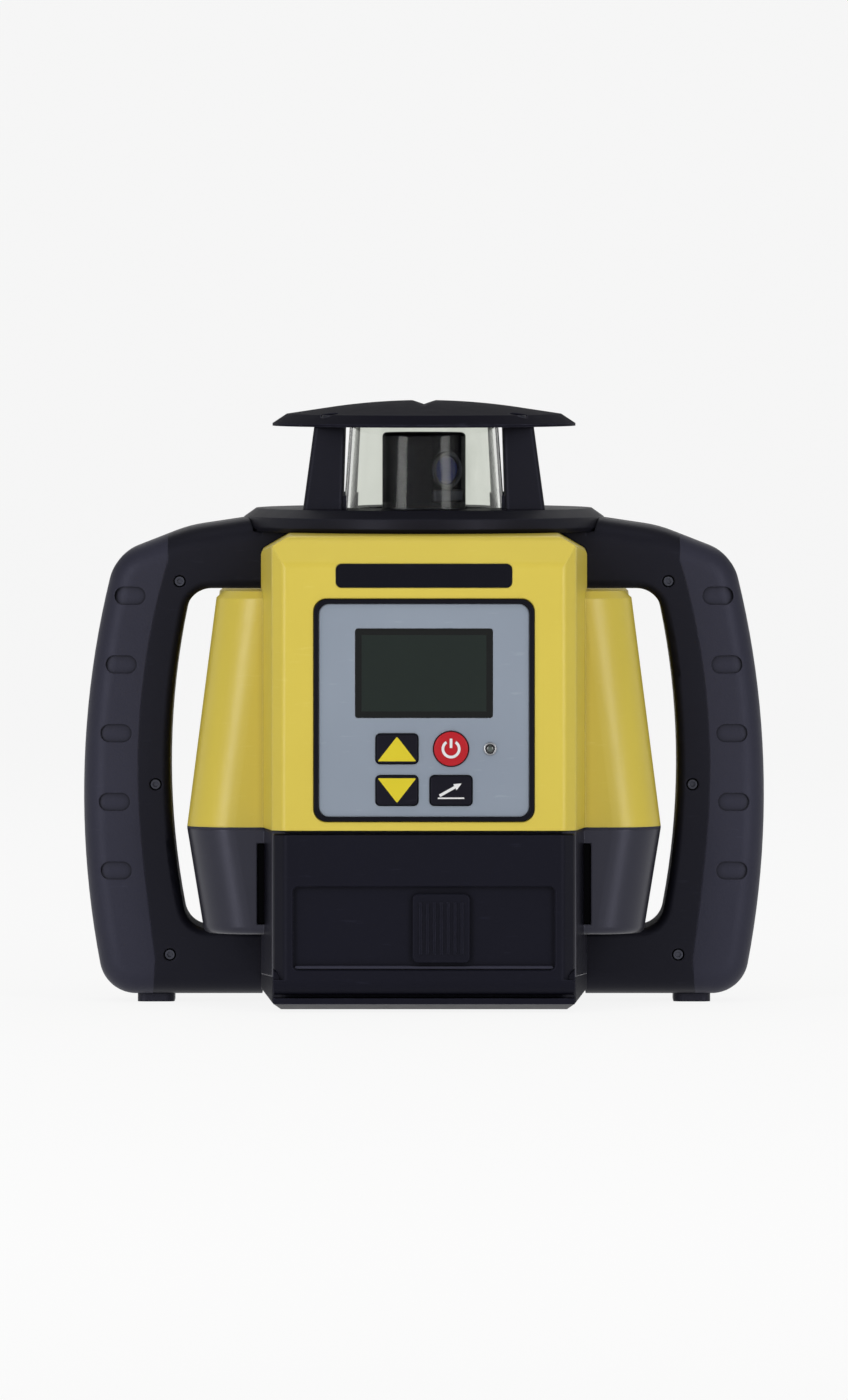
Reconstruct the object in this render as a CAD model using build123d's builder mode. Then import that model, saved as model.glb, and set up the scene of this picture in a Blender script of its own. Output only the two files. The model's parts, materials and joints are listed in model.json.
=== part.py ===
# Rotary laser level: a self-levelling spinning beam in a sealed site housing with two carry handles.
# Millimetres, +Z up, front towards -Y. The origin is the tripod thread's axis at the foot of the base.
import os
from build123d import *

os.makedirs("parts", exist_ok=True)


def save(piece, name):
    piece.label = name
    export_step(piece, f"parts/{name}.step")


# Overall driving sizes
overall_width = 240.0
overall_height = 212.0
overall_depth = 192.0
wall = 3.0
seat_gap = 0.3
running_gap = 0.05

# Heights of the main joints in the casing
base_top = 12.0
flank_foot = 26.0
split_level = 63.5
flank_top = 146.0
bay_top = 166.0
cover_top = 174.0
roof_underside = 203.0

# Rounded flanks on each side, seen in plan, with a hollow behind each handle for the fingers
handle_inner_x = overall_width / 2 - 30.8
flank_half_width = handle_inner_x - 6.2
flank_top_half_width = flank_half_width - 10.6
flank_foot_half_width = flank_half_width - 6.0
flank_half_depth = 66.0
flank_corner = 17.0
hollow_blend = 6.0
hollow_depth = 17.0
hollow_half_length = 27.0
hollow_run = 15.0
flank_rim = 2.5
flank_slope = (flank_half_width - flank_top_half_width) / (flank_top - split_level)

# Flat-fronted spine that runs from the front bay to the rear bay
bay_half_width = 53.0
spine_half_width = 57.0
spine_shoulder = 60.0
bay_edge = 4.0
bay_round = 2.5
brow_round = 5.0
rim_round = 0.4
bay_brow = 10.0
bay_brow_depth = 6.0
bay_half_depth = overall_depth / 2

# Battery door in the front of the lower housing
door_thickness = 11.0
door_gap = 0.5
door_round = 0.6
door_half_width = 52.5
door_pin_radius = 1.5
door_pin_level = 11.5
door_pin_setback = 6.0
knuckle_radius = 4.0
lug_width = 6.0
lug_neck = 1.8
chin_height = 2.0
front_rise = 3.0
rise_start = 68.0
door_recess_width = 91.0
door_recess_height = 29.0
door_recess_depth = 2.5
door_recess_level = 29.5

# Control panel
panel_width = 76.8
panel_height = 77.6
panel_level = 105.4
panel_corner = 4.5
panel_rim = 1.7
panel_ledge = 3.6
panel_recess = 3.2
display_width = 48.0
display_height = 31.2
display_level = 118.3
key_width = 14.4
key_height = 10.2
key_corner = 1.4
power_radius = 6.0
key_column = 9.4
upper_key_level = 92.0
lower_key_level = 77.5
key_gap = 0.35
key_stand = 1.0
key_round = 0.5
key_travel = 0.8
lamp_radius = 1.6
lamp_x = 23.0
strip_width = 61.4
strip_height = 8.4
strip_level = 152.2
strip_depth = 1.2

# Lantern: glass, posts and roof above the top cover
cover_radius = 63.5
cover_gap = 0.15
glass_foot_radius = 28.3
glass_top_radius = 26.2
glass_thickness = 2.0
glass_seat_depth = 2.0
post_x = 34.3
post_y = 34.3
post_foot_width = 14.0
post_top_width = 11.0
post_depth = 8.0
post_lean = 2.4
roof_radius = 53.5
roof_rim = 0.9
roof_bevel_run = 5.0
roof_bevel_rise = 4.2
roof_shoulder_radius = 32.0
roof_crown = overall_height
roof_shoulder = overall_height - 2.3
sight_width = 9.0
sight_depth = 1.8

# Handles
handle_half_depth = 22.0
grip_wall = 3.5
grip_edge = 8.0
notch_insets = (5.5, 2.4, 0.6, 0.0, 0.6)
notch_pitch = 24.2
notch_height = 6.4
notch_depth = 0.9
notch_top_level = 143.4
handle_foot = 3.0

# Spindle, gimbal and drive
pivot_level = 134.0
rotor_radius = 14.7
rotor_foot = 176.0
rotor_top = 200.6
rotor_turn = 37.0
window_radius = 5.2
spindle_radius = 8.5
beam_bore = 5.0
bearing_outer = 13.0
bearing_width = 7.0
sleeve_radius = 18.0
sleeve_foot = 122.0
sleeve_top = 164.0
ring_inner = 40.0
ring_outer = 46.0
ring_height = 11.0
gimbal_pin_radius = 2.5
gimbal_pin_gap = 0.05
yoke_x = 49.5
yoke_thickness = 6.0
yoke_width = 16.0
deck_level = 64.0
deck_thickness = 3.0
pulley_level = 114.0
pulley_width = 6.0
spindle_pulley_radius = 12.0
motor_pulley_radius = 5.0
motor_x = 28.5
motor_radius = 9.0
motor_length = 26.0
belt_thickness = 1.2
belt_gap = 0.12
belt_width = 4.0
laser_radius = 9.0
laser_length = 34.0

# Tripod thread, five-eighths inch by eleven threads, drawn at its minor diameter
thread_radius = 6.85
insert_radius = 14.0
insert_flange_radius = 18.0
insert_height = 15.0
screw_radius = 1.6
screw_head_radius = 3.0
screw_head_height = 1.8


def flank_sketch(level, half_width, inset=0.0):
    """Plan of the rounded flanks at one height, with the two hand hollows."""
    width = half_width - inset
    depth = flank_half_depth - inset
    floor = width - hollow_depth
    half = hollow_half_length + inset
    quarter = [(width, -depth), (width, -half - hollow_run), (floor, -half)]
    right_side = quarter + [(x, -y) for x, y in reversed(quarter)]
    left_side = [(-x, -y) for x, y in right_side]
    side_radii = [flank_corner - inset, hollow_blend, hollow_blend]
    with BuildSketch(Plane.XY.offset(level)) as plan:
        with BuildLine():
            FilletPolyline(
                *right_side,
                *left_side,
                radius=2 * (side_radii + side_radii[::-1]),
                close=True,
            )
        make_face()
    return plan.sketch


def spine_sketch(level, inset=0.0, front=bay_half_depth, rear=bay_half_depth):
    """Plan of the spine: a long block with chamfered corners, narrower at both bays."""
    bay = bay_half_width - inset
    side = spine_half_width - inset
    with BuildSketch(Plane.XY.offset(level)) as plan:
        with BuildLine():
            FilletPolyline(
                (-bay + bay_edge, -front + inset),
                (bay - bay_edge, -front + inset),
                (bay, -front + inset + bay_edge),
                (side, -spine_shoulder),
                (side, spine_shoulder),
                (bay, rear - inset - bay_edge),
                (bay - bay_edge, rear - inset),
                (-bay + bay_edge, rear - inset),
                (-bay, rear - inset - bay_edge),
                (-side, spine_shoulder),
                (-side, -spine_shoulder),
                (-bay, -front + inset + bay_edge),
                radius=bay_round,
                close=True,
            )
        make_face()
    return plan.sketch


# Upper housing: yellow shell with front and rear bays
with BuildPart() as upper_housing:
    extrude(spine_sketch(split_level), amount=bay_top - split_level)
    with BuildSketch(Plane.YZ) as brow_cut:
        with Locations((0, bay_top)):
            Rectangle(2 * overall_depth, 2 * (bay_top - split_level))
        with BuildLine():
            FilletPolyline(
                (-bay_half_depth, -bay_top),
                (bay_half_depth, -bay_top),
                (bay_half_depth, bay_top - bay_brow),
                (bay_half_depth - bay_brow_depth, bay_top),
                (-bay_half_depth + bay_brow_depth, bay_top),
                (-bay_half_depth, bay_top - bay_brow),
                radius=brow_round,
                close=True,
            )
        make_face(mode=Mode.SUBTRACT)
    extrude(amount=overall_width, both=True, mode=Mode.SUBTRACT)
    for side in (1, -1):
        with BuildSketch(Plane.XZ) as shoulder_cut:
            with Locations((side * overall_width / 2, bay_top)):
                Rectangle(overall_width - bay_half_width, 2 * (bay_top - split_level))
            with BuildLine():
                FilletPolyline(
                    (0, 0),
                    (side * spine_half_width, 0),
                    (side * spine_half_width, bay_top - bay_brow_depth),
                    (side * (spine_half_width - bay_brow), bay_top),
                    (0, bay_top),
                    radius=bay_round,
                    close=True,
                )
            make_face(mode=Mode.SUBTRACT)
        extrude(amount=overall_depth, both=True, mode=Mode.SUBTRACT)
    loft([
        flank_sketch(split_level, flank_half_width),
        flank_sketch(flank_top - flank_rim, flank_top_half_width + flank_rim * flank_slope),
        flank_sketch(flank_top, flank_top_half_width, flank_rim),
    ], ruled=True)
    loft([
        flank_sketch(split_level, flank_half_width, wall),
        flank_sketch(flank_top - wall, flank_top_half_width + wall * 0.3, wall),
    ], ruled=True, mode=Mode.SUBTRACT)
    extrude(
        spine_sketch(split_level, wall + panel_recess),
        amount=bay_top - bay_brow - split_level,
        mode=Mode.SUBTRACT,
    )
    with BuildSketch(Plane.XY.offset(bay_top - bay_brow)):
        Rectangle(2 * (bay_half_width - bay_brow), 2 * spine_shoulder)
    extrude(amount=bay_brow - wall, mode=Mode.SUBTRACT)
    with BuildSketch(Plane.XY.offset(bay_top - wall)):
        Circle(glass_foot_radius + wall)
    extrude(amount=wall, mode=Mode.SUBTRACT)
    with BuildSketch(Plane.XZ.offset(bay_half_depth - panel_recess)):
        with Locations((0, panel_level)):
            RectangleRounded(panel_width, panel_height, panel_corner)
    extrude(amount=panel_recess, mode=Mode.SUBTRACT)
    with BuildSketch(Plane.XZ.offset(bay_half_depth - panel_recess - wall)):
        with Locations((0, panel_level)):
            RectangleRounded(panel_width - 2 * panel_ledge, panel_height - 2 * panel_ledge, panel_rim)
    extrude(amount=wall, mode=Mode.SUBTRACT)
    with BuildSketch(Plane.XZ.offset(bay_half_depth - strip_depth)):
        with Locations((0, strip_level)):
            RectangleRounded(strip_width, strip_height, 2.0)
    extrude(amount=strip_depth, mode=Mode.SUBTRACT)
    front_face = upper_housing.faces().filter_by(Plane.XZ).group_by(Axis.Y)[0].sort_by(SortBy.AREA)[-1]
    fillet(front_face.inner_wires()[0].edges(), rim_round)
save(upper_housing.part, "upper_housing")


# Lower housing: black shell, open in front for the battery door, with a drip channel beside each bay
housing_front = bay_half_depth - door_thickness - door_gap
battery_mouth_half_width = 47.0
battery_mouth_foot = 14.0
battery_mouth_top = 57.0
gasket_height = 0.8
lower_top = split_level - gasket_height
channel_width = 3.4
channel_depth = 1.8
channel_foot = flank_foot + 3.5
channel_top = lower_top - 4.7
with BuildPart() as lower_housing:
    loft([
        flank_sketch(flank_foot, flank_foot_half_width),
        flank_sketch(lower_top, flank_half_width),
    ], ruled=True)
    extrude(spine_sketch(base_top, front=housing_front), amount=lower_top - base_top)
    loft([
        flank_sketch(flank_foot + wall, flank_foot_half_width, wall),
        flank_sketch(lower_top, flank_half_width, wall),
    ], ruled=True, mode=Mode.SUBTRACT)
    extrude(
        spine_sketch(base_top, wall, front=housing_front),
        amount=lower_top - base_top,
        mode=Mode.SUBTRACT,
    )
    with BuildSketch(Plane.XZ.offset(housing_front - wall)):
        with Locations((0, (battery_mouth_foot + battery_mouth_top) / 2)):
            Rectangle(2 * battery_mouth_half_width, battery_mouth_top - battery_mouth_foot)
    extrude(amount=wall, mode=Mode.SUBTRACT)
    for x_side in (1, -1):
        for y_side in (1, -1):
            channel_x = x_side * (spine_half_width - 0.3)
            channel_y = y_side * (flank_half_depth - channel_depth / 2)
            with Locations((channel_x, channel_y, (channel_foot + channel_top) / 2)):
                Box(channel_width, channel_depth, channel_top - channel_foot, mode=Mode.SUBTRACT)
    foot_rim = lower_housing.edges().filter_by_position(Axis.Z, flank_foot, flank_foot)
    fillet(foot_rim.filter_by(lambda edge: abs(edge.center().X) > spine_half_width), flank_rim)
save(lower_housing.part, "lower_housing")

with BuildPart() as housing_gasket:
    extrude(flank_sketch(lower_top, flank_half_width), amount=gasket_height)
    extrude(spine_sketch(lower_top, front=housing_front), amount=gasket_height)
    extrude(flank_sketch(lower_top, flank_half_width, wall), amount=gasket_height, mode=Mode.SUBTRACT)
    extrude(
        spine_sketch(lower_top, wall + panel_recess, front=housing_front),
        amount=gasket_height,
        mode=Mode.SUBTRACT,
    )
save(housing_gasket.part, "housing_gasket")

# Base plate with the hinge lugs of the battery door
door_pin_y = -bay_half_depth + door_pin_setback
lug_x = door_half_width - lug_width / 2
foot_corner = 7.0
base_screw_x = 40.0
base_screw_y = 62.0


def lug_sketch(x):
    """Side view of a hinge lug, on a neck in front of the base."""
    with BuildSketch(Plane.YZ.offset(x)) as lug:
        with Locations((door_pin_y, door_pin_level)):
            Circle(knuckle_radius)
        with BuildLine():
            Polyline(
                (door_pin_y, base_top),
                (door_pin_y, door_pin_level - lug_neck),
                (-housing_front, door_pin_level - lug_neck),
                (-housing_front, base_top),
                close=True,
            )
        make_face()
    return lug.sketch


with BuildPart() as base_plate:
    extrude(spine_sketch(0, front=housing_front), amount=base_top)
    with BuildSketch(Plane.XY.offset(front_rise)):
        with Locations((0, -(housing_front + bay_half_depth - 2) / 2)):
            Rectangle(2 * door_half_width, bay_half_depth - housing_front - 2)
    extrude(amount=chin_height)
    for side in (lug_x, -lug_x):
        extrude(lug_sketch(side - lug_width / 2), amount=lug_width)
    with BuildSketch(Plane.YZ.offset(-door_half_width)):
        with Locations((door_pin_y, door_pin_level)):
            Circle(door_pin_radius)
    extrude(amount=2 * door_half_width, mode=Mode.SUBTRACT)
    with BuildSketch(Plane.YZ.offset(-overall_width / 2)) as rise:
        with BuildLine():
            Polyline(
                (rise_start, 0),
                (housing_front, front_rise),
                (bay_half_depth, front_rise),
                (bay_half_depth, -front_rise),
                (rise_start, -front_rise),
                close=True,
            )
        make_face()
        mirror(about=Plane.YZ)
    extrude(amount=overall_width, mode=Mode.SUBTRACT)
    with BuildSketch(Plane.XZ) as heel:
        with BuildLine():
            Polyline(
                (spine_half_width, 0),
                (spine_half_width, foot_corner),
                (spine_half_width - foot_corner, 0),
                close=True,
            )
        make_face()
        mirror(about=Plane.YZ)
    extrude(amount=overall_depth, both=True, mode=Mode.SUBTRACT)
    with Locations((0, 0, base_top)):
        Hole(insert_radius)
    with Locations(Location((0, 0, 0), (180, 0, 0))):
        with GridLocations(2 * base_screw_x, 2 * base_screw_y, 2, 2):
            CounterBoreHole(screw_radius, screw_head_radius + seat_gap, 3.0)
save(base_plate.part, "base_plate")

# Tripod insert: a flanged brass bush pressed up into the base
with BuildPart() as tripod_insert:
    Cylinder(insert_radius, base_top, align=(Align.CENTER, Align.CENTER, Align.MIN))
    with Locations((0, 0, base_top)):
        Cylinder(
            insert_flange_radius,
            insert_height - base_top,
            align=(Align.CENTER, Align.CENTER, Align.MIN),
        )
    with Locations((0, 0, insert_height)):
        Hole(thread_radius)
    mouth = tripod_insert.edges().filter_by(GeomType.CIRCLE).group_by(Axis.Z)[0]
    chamfer(mouth.sort_by(SortBy.RADIUS)[0], 1.0)
save(tripod_insert.part, "tripod_insert")

with BuildPart() as base_screws:
    with GridLocations(2 * base_screw_x, 2 * base_screw_y, 2, 2):
        with Locations((0, 0, 3.0 - screw_head_height)):
            Cylinder(screw_head_radius, screw_head_height, align=(Align.CENTER, Align.CENTER, Align.MIN))
        with Locations((0, 0, 3.0)):
            Cylinder(screw_radius, base_top - 3.0, align=(Align.CENTER, Align.CENTER, Align.MIN))
save(base_screws.part, "base_screws")

# Battery door, hinged along its lower edge
door_foot = door_pin_level
door_top = lower_top - door_gap
door_inner = -bay_half_depth + door_thickness
knuckle_length = 2 * (lug_x - lug_width / 2 - seat_gap)
latch_width = 20.0
latch_height = 24.0
latch_thickness = 2.0
latch_x = 6.0
latch_travel = 5.0
lip_sweep = 60.0
stem_width = 9.0
stem_height = 5.0
keeper_height = 12.0
keeper_thickness = 1.5
with BuildPart() as battery_door:
    with BuildSketch(Plane.XY.offset(door_foot)):
        with BuildLine():
            FilletPolyline(
                (-door_half_width, door_inner),
                (-door_half_width, -bay_half_depth + bay_edge),
                (-door_half_width + bay_edge, -bay_half_depth),
                (door_half_width - bay_edge, -bay_half_depth),
                (door_half_width, -bay_half_depth + bay_edge),
                (door_half_width, door_inner),
                radius=[0.6, bay_round, bay_round, bay_round, bay_round, 0.6],
                close=True,
            )
        make_face()
    extrude(amount=door_top - door_foot)
    with BuildSketch(Plane.YZ.offset(-knuckle_length / 2)):
        with Locations((door_pin_y, door_pin_level)):
            Circle(knuckle_radius)
    extrude(amount=knuckle_length)
    with BuildSketch(Plane.YZ.offset(-door_half_width)):
        with BuildLine():
            lip_curve = CenterArc((door_pin_y, door_pin_level), door_pin_setback, 180, lip_sweep)
            Polyline(lip_curve @ 1, (door_pin_y, door_pin_level), lip_curve @ 0)
        make_face()
    extrude(amount=2 * door_half_width)
    for side in (1, -1):
        with BuildSketch(Plane.YZ.offset(side * lug_x - lug_width / 2 - seat_gap)):
            with Locations((door_pin_y, door_pin_level)):
                Circle(knuckle_radius + seat_gap)
                Rectangle(
                    door_thickness,
                    2 * (knuckle_radius + seat_gap),
                    align=(Align.MIN, Align.CENTER),
                )
        extrude(amount=lug_width + 2 * seat_gap, mode=Mode.SUBTRACT)
    with BuildSketch(Plane.YZ.offset(-door_half_width)):
        with Locations((door_pin_y, door_pin_level)):
            Circle(door_pin_radius + running_gap)
    extrude(amount=2 * door_half_width, mode=Mode.SUBTRACT)
    with BuildSketch(Plane.XZ.offset(bay_half_depth - door_recess_depth)):
        with Locations((0, door_recess_level)):
            RectangleRounded(door_recess_width, door_recess_height, 2.0)
    extrude(amount=door_recess_depth, mode=Mode.SUBTRACT)
    with BuildSketch(Plane.XZ.offset(-door_inner)):
        with Locations((latch_x - latch_travel / 2, door_recess_level)):
            SlotOverall(stem_width + latch_travel + 2 * seat_gap, stem_height + 2 * seat_gap)
    extrude(amount=door_thickness, mode=Mode.SUBTRACT)
    door_face = battery_door.faces().filter_by(Plane.XZ).group_by(Axis.Y)[0].sort_by(SortBy.AREA)[-1]
    fillet(door_face.inner_wires()[0].edges() + door_face.edges().sort_by(Axis.Z)[-1:], door_round)
save(battery_door.part, "battery_door")

# Door latch: a thumb plate in the recess, its stem through the door and a keeper plate behind
latch_back = -bay_half_depth + door_recess_depth - seat_gap
with BuildPart() as door_latch:
    with BuildSketch(Plane.XZ.offset(-latch_back)):
        with Locations((latch_x, door_recess_level)):
            RectangleRounded(latch_width, latch_height, 2.0)
    extrude(amount=latch_thickness)
    fillet(door_latch.faces().sort_by(Axis.Y)[0].edges(), rim_round)
    for row in range(-3, 4):
        with Locations((latch_x + row * 2.4, latch_back - latch_thickness, door_recess_level)):
            Box(1.0, 1.0, latch_height - 6.0)
    with BuildSketch(Plane.XZ.offset(-latch_back)):
        with Locations((latch_x, door_recess_level)):
            SlotOverall(stem_width, stem_height)
    extrude(amount=-(door_inner + seat_gap - latch_back))
    with BuildSketch(Plane.XZ.offset(-(door_inner + seat_gap))):
        with Locations((latch_x, door_recess_level)):
            RectangleRounded(latch_width, keeper_height, 2.0)
    extrude(amount=-keeper_thickness)
save(door_latch.part, "door_latch")

with BuildPart() as door_hinge_pin:
    with BuildSketch(Plane.YZ.offset(-door_half_width)):
        with Locations((door_pin_y, door_pin_level)):
            Circle(door_pin_radius)
    extrude(amount=2 * door_half_width)
save(door_hinge_pin.part, "door_hinge_pin")

# Battery pack in its tray on the base
tray_wall = 1.5
tray_half_width = 45.0
tray_front = -housing_front + wall
tray_rear = -20.0
tray_top = 58.5
pack_clear = 0.4
with BuildPart() as battery_tray:
    with BuildSketch(Plane.XZ.offset(-tray_front)):
        with Locations((0, (base_top + tray_top) / 2)):
            Rectangle(2 * tray_half_width, tray_top - base_top)
    extrude(amount=-(tray_rear - tray_front))
    with BuildSketch(Plane.XZ.offset(-tray_front)):
        with Locations((0, (base_top + tray_top) / 2)):
            Rectangle(2 * (tray_half_width - tray_wall), tray_top - base_top - 2 * tray_wall)
    extrude(amount=-(tray_rear - tray_front - tray_wall), mode=Mode.SUBTRACT)
save(battery_tray.part, "battery_tray")

contact_length = 4.0
pack_rear = tray_rear - tray_wall - contact_length
pack_half_width = tray_half_width - tray_wall - pack_clear
pack_foot = base_top + tray_wall
pack_height = tray_top - base_top - 2 * tray_wall - pack_clear
with BuildPart() as battery_pack:
    with BuildSketch(Plane.XZ.offset(-tray_front - 1)):
        with Locations((0, pack_foot + pack_height / 2)):
            RectangleRounded(2 * pack_half_width, pack_height, 3.0)
    extrude(amount=-(pack_rear - tray_front - 1))
save(battery_pack.part, "battery_pack")

contact_x = 22.0
with BuildPart() as battery_contacts:
    for side in (-contact_x, contact_x):
        with BuildSketch(Plane.XZ.offset(-pack_rear)):
            with Locations((side, pack_foot + pack_height / 2)):
                Circle(5.0)
        extrude(amount=-contact_length)
save(battery_contacts.part, "battery_contacts")


def front_slab(width, height, corner, front, back, level, x=0.0):
    """A rounded plate parallel to the front face, between two depths."""
    with BuildPart() as slab:
        with BuildSketch(Plane.XZ.offset(-front)):
            with Locations((x, level)):
                RectangleRounded(width, height, corner)
        extrude(amount=-(back - front))
    return slab.part


# Control panel stack, from the bezel back to the board
panel_floor = -bay_half_depth + panel_recess
bezel_front = -bay_half_depth - 0.6
fascia_front = -bay_half_depth + 0.4
fascia_width = panel_width - 2 * panel_rim
fascia_height = panel_height - 2 * panel_rim
window_gap = 0.1
key_front = fascia_front - key_stand
key_flange = 1.2
key_flange_thickness = 0.8
key_back = panel_floor + 0.2 + key_flange_thickness
mat_front = key_back + key_travel + 0.2
board_front = panel_floor + wall + 3.0
board_thickness = 1.6
board_size = 80.0
module_width = 56.0
module_height = 38.0
mat_width = 62.0
mat_height = 27.0
keys = {
    "key_up": (-key_column, upper_key_level),
    "key_down": (-key_column, lower_key_level),
    "key_grade": (key_column, lower_key_level),
}

with BuildPart() as panel_bezel:
    add(front_slab(panel_width - 2 * window_gap, panel_height - 2 * window_gap, panel_corner,
                   bezel_front, panel_floor, panel_level))
    add(front_slab(fascia_width, fascia_height, panel_corner - panel_rim / 2,
                   bezel_front, panel_floor, panel_level), mode=Mode.SUBTRACT)
    fillet(panel_bezel.faces().sort_by(Axis.Y)[0].edges(), rim_round)
save(panel_bezel.part, "panel_bezel")

with BuildPart() as panel_fascia:
    add(front_slab(fascia_width - 2 * window_gap, fascia_height - 2 * window_gap,
                   panel_corner - panel_rim / 2, fascia_front, panel_floor, panel_level))
    add(front_slab(display_width, display_height, 1.0, fascia_front, panel_floor, display_level),
        mode=Mode.SUBTRACT)
    for x, level in keys.values():
        add(front_slab(key_width + 2 * key_gap, key_height + 2 * key_gap, key_corner + key_gap,
                       fascia_front, panel_floor, level, x), mode=Mode.SUBTRACT)
    with BuildSketch(Plane.XZ.offset(-fascia_front)):
        with Locations((key_column, upper_key_level)):
            Circle(power_radius + key_gap)
        with Locations((lamp_x, upper_key_level)):
            Circle(lamp_radius)
    extrude(amount=-(panel_floor - fascia_front), mode=Mode.SUBTRACT)
save(panel_fascia.part, "panel_fascia")

with BuildPart() as display_window:
    add(front_slab(display_width - 2 * window_gap, display_height - 2 * window_gap, 0.9,
                   fascia_front + 0.3, panel_floor, display_level))
save(display_window.part, "display_window")

with BuildPart() as display_module:
    add(front_slab(module_width, module_height, 1.5, panel_floor, board_front, display_level))
save(display_module.part, "display_module")

with BuildPart() as status_lamp:
    with BuildSketch(Plane.XZ.offset(-fascia_front + 0.3)):
        with Locations((lamp_x, upper_key_level)):
            Circle(lamp_radius - window_gap)
    extrude(amount=-(panel_floor - fascia_front + 0.3))
save(status_lamp.part, "status_lamp")

# Keys: caps that stand through the fascia, with a flange behind it that keeps them in
for name, (x, level) in keys.items():
    with BuildPart() as key_cap:
        add(front_slab(key_width, key_height, key_corner, key_front, key_back, level, x))
        fillet(key_cap.faces().sort_by(Axis.Y)[0].edges(), key_round)
        add(front_slab(key_width + 2 * key_flange, key_height + 2 * key_flange, key_corner,
                       key_back - key_flange_thickness, key_back, level, x))
    save(key_cap.part, name)

with BuildPart() as key_power:
    with BuildSketch(Plane.XZ.offset(-key_front)):
        with Locations((key_column, upper_key_level)):
            Circle(power_radius)
    extrude(amount=-(key_back - key_front))
    fillet(key_power.faces().sort_by(Axis.Y)[0].edges(), key_round)
    with BuildSketch(Plane.XZ.offset(-key_back + key_flange_thickness)):
        with Locations((key_column, upper_key_level)):
            Circle(power_radius + key_flange)
    extrude(amount=-key_flange_thickness)
save(key_power.part, "key_power")

with BuildPart() as keypad_mat:
    add(front_slab(mat_width, mat_height, 2.0, mat_front, board_front,
                   (upper_key_level + lower_key_level) / 2))
save(keypad_mat.part, "keypad_mat")

with BuildPart() as panel_board:
    add(front_slab(board_size, board_size, 2.0, board_front, board_front + board_thickness, panel_level))
save(panel_board.part, "panel_board")

standoff_radius = 2.5

# Plain dark strip above the panel
with BuildPart() as brow_strip:
    add(front_slab(strip_width - 2 * window_gap, strip_height - 2 * window_gap, 2.0,
                   -bay_half_depth - 0.2, -bay_half_depth + strip_depth, strip_level))
save(brow_strip.part, "brow_strip")

# Main board on standoffs at the rear wall
main_board_y = bay_half_depth - 16.0
main_board_width = 84.0
main_board_height = 74.0
main_board_level = 108.0
rear_wall = bay_half_depth - wall - panel_recess
with BuildPart() as main_board:
    add(front_slab(main_board_width, main_board_height, 2.0, main_board_y,
                   main_board_y + board_thickness, main_board_level))
save(main_board.part, "main_board")

with BuildPart() as board_standoffs:
    with BuildSketch(Plane.XZ.offset(-board_front)):
        with Locations((0, panel_level)):
            with GridLocations(board_size - 2 * standoff_radius, board_size - 2 * standoff_radius, 2, 2):
                Circle(standoff_radius)
    extrude(amount=board_front - panel_floor - wall)
    with BuildSketch(Plane.XZ.offset(-rear_wall)):
        with Locations((0, main_board_level)):
            with GridLocations(main_board_width - 10, main_board_height - 10, 2, 2):
                Circle(standoff_radius)
    extrude(amount=rear_wall - main_board_y - board_thickness)
save(board_standoffs.part, "board_standoffs")


# Top cover: a round plate over the bays that carries the lantern
cover_bore = 23.5
cover_edge = 3.0
groove_gap = 0.3
groove_inner = glass_foot_radius - glass_thickness - groove_gap
groove_outer = glass_foot_radius + groove_gap
groove_floor = cover_top - glass_seat_depth
with BuildPart() as top_cover:
    with BuildSketch(Plane.XZ) as cover_profile:
        with BuildLine():
            Polyline(
                (cover_bore, bay_top),
                (cover_radius - 1.0, bay_top),
                (cover_radius, bay_top + 1.5),
                (cover_radius, cover_top - cover_edge),
                (cover_radius - cover_edge * 1.4, cover_top),
                (groove_outer, cover_top),
                (groove_outer, groove_floor),
                (groove_inner, groove_floor),
                (groove_inner, cover_top),
                (cover_bore, cover_top),
                close=True,
            )
        make_face()
    revolve(axis=Axis.Z)
save(top_cover.part, "top_cover")


def ring_between(inner, outer, foot, top):
    """A plain round ring about the tripod axis."""
    with BuildPart() as ring:
        with BuildSketch(Plane.XY.offset(foot)):
            Circle(outer)
            Circle(inner, mode=Mode.SUBTRACT)
        extrude(amount=top - foot)
    return ring.part


# Lantern glass between two flat seals
lower_seal_height = 1.0
upper_seal_height = 1.0
glass_foot = groove_floor + lower_seal_height
glass_top = roof_underside
with BuildPart() as lantern_glass:
    with BuildSketch(Plane.XZ):
        with BuildLine():
            Polyline(
                (glass_foot_radius - glass_thickness, glass_foot),
                (glass_foot_radius, glass_foot),
                (glass_foot_radius, cover_top),
                (glass_top_radius, glass_top),
                (glass_top_radius - glass_thickness, glass_top),
                (glass_foot_radius - glass_thickness, cover_top),
                close=True,
            )
        make_face()
    revolve(axis=Axis.Z)
save(lantern_glass.part, "lantern_glass")

with BuildPart() as glass_seals:
    add(ring_between(groove_inner + 0.1, groove_outer - 0.1, groove_floor, glass_foot))
    add(ring_between(glass_top_radius - glass_thickness, glass_top_radius, glass_top,
                     glass_top + upper_seal_height))
save(glass_seals.part, "glass_seals")

# Four leaning posts that carry the roof
with BuildPart() as roof_posts:
    for x_side in (1, -1):
        for y_side in (1, -1):
            with BuildSketch(Plane.XY.offset(cover_top)):
                with Locations((x_side * (post_x + post_lean / 2), y_side * (post_y + post_lean / 2))):
                    RectangleRounded(post_foot_width, post_depth + post_lean, 1.5)
            with BuildSketch(Plane.XY.offset(roof_underside)):
                with Locations((x_side * (post_x - post_lean / 2), y_side * (post_y - post_lean / 2))):
                    RectangleRounded(post_top_width, post_depth - post_lean, 1.5)
            loft(ruled=True)
            with Locations((
                x_side * (post_x + post_lean / 2 - post_foot_width / 2 + 1.0),
                y_side * (post_y + post_lean / 2),
                cover_top,
            )):
                Box(4.5, 6.0, 5.0, align=(Align.CENTER, Align.CENTER, Align.MIN))
save(roof_posts.part, "roof_posts")

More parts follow.
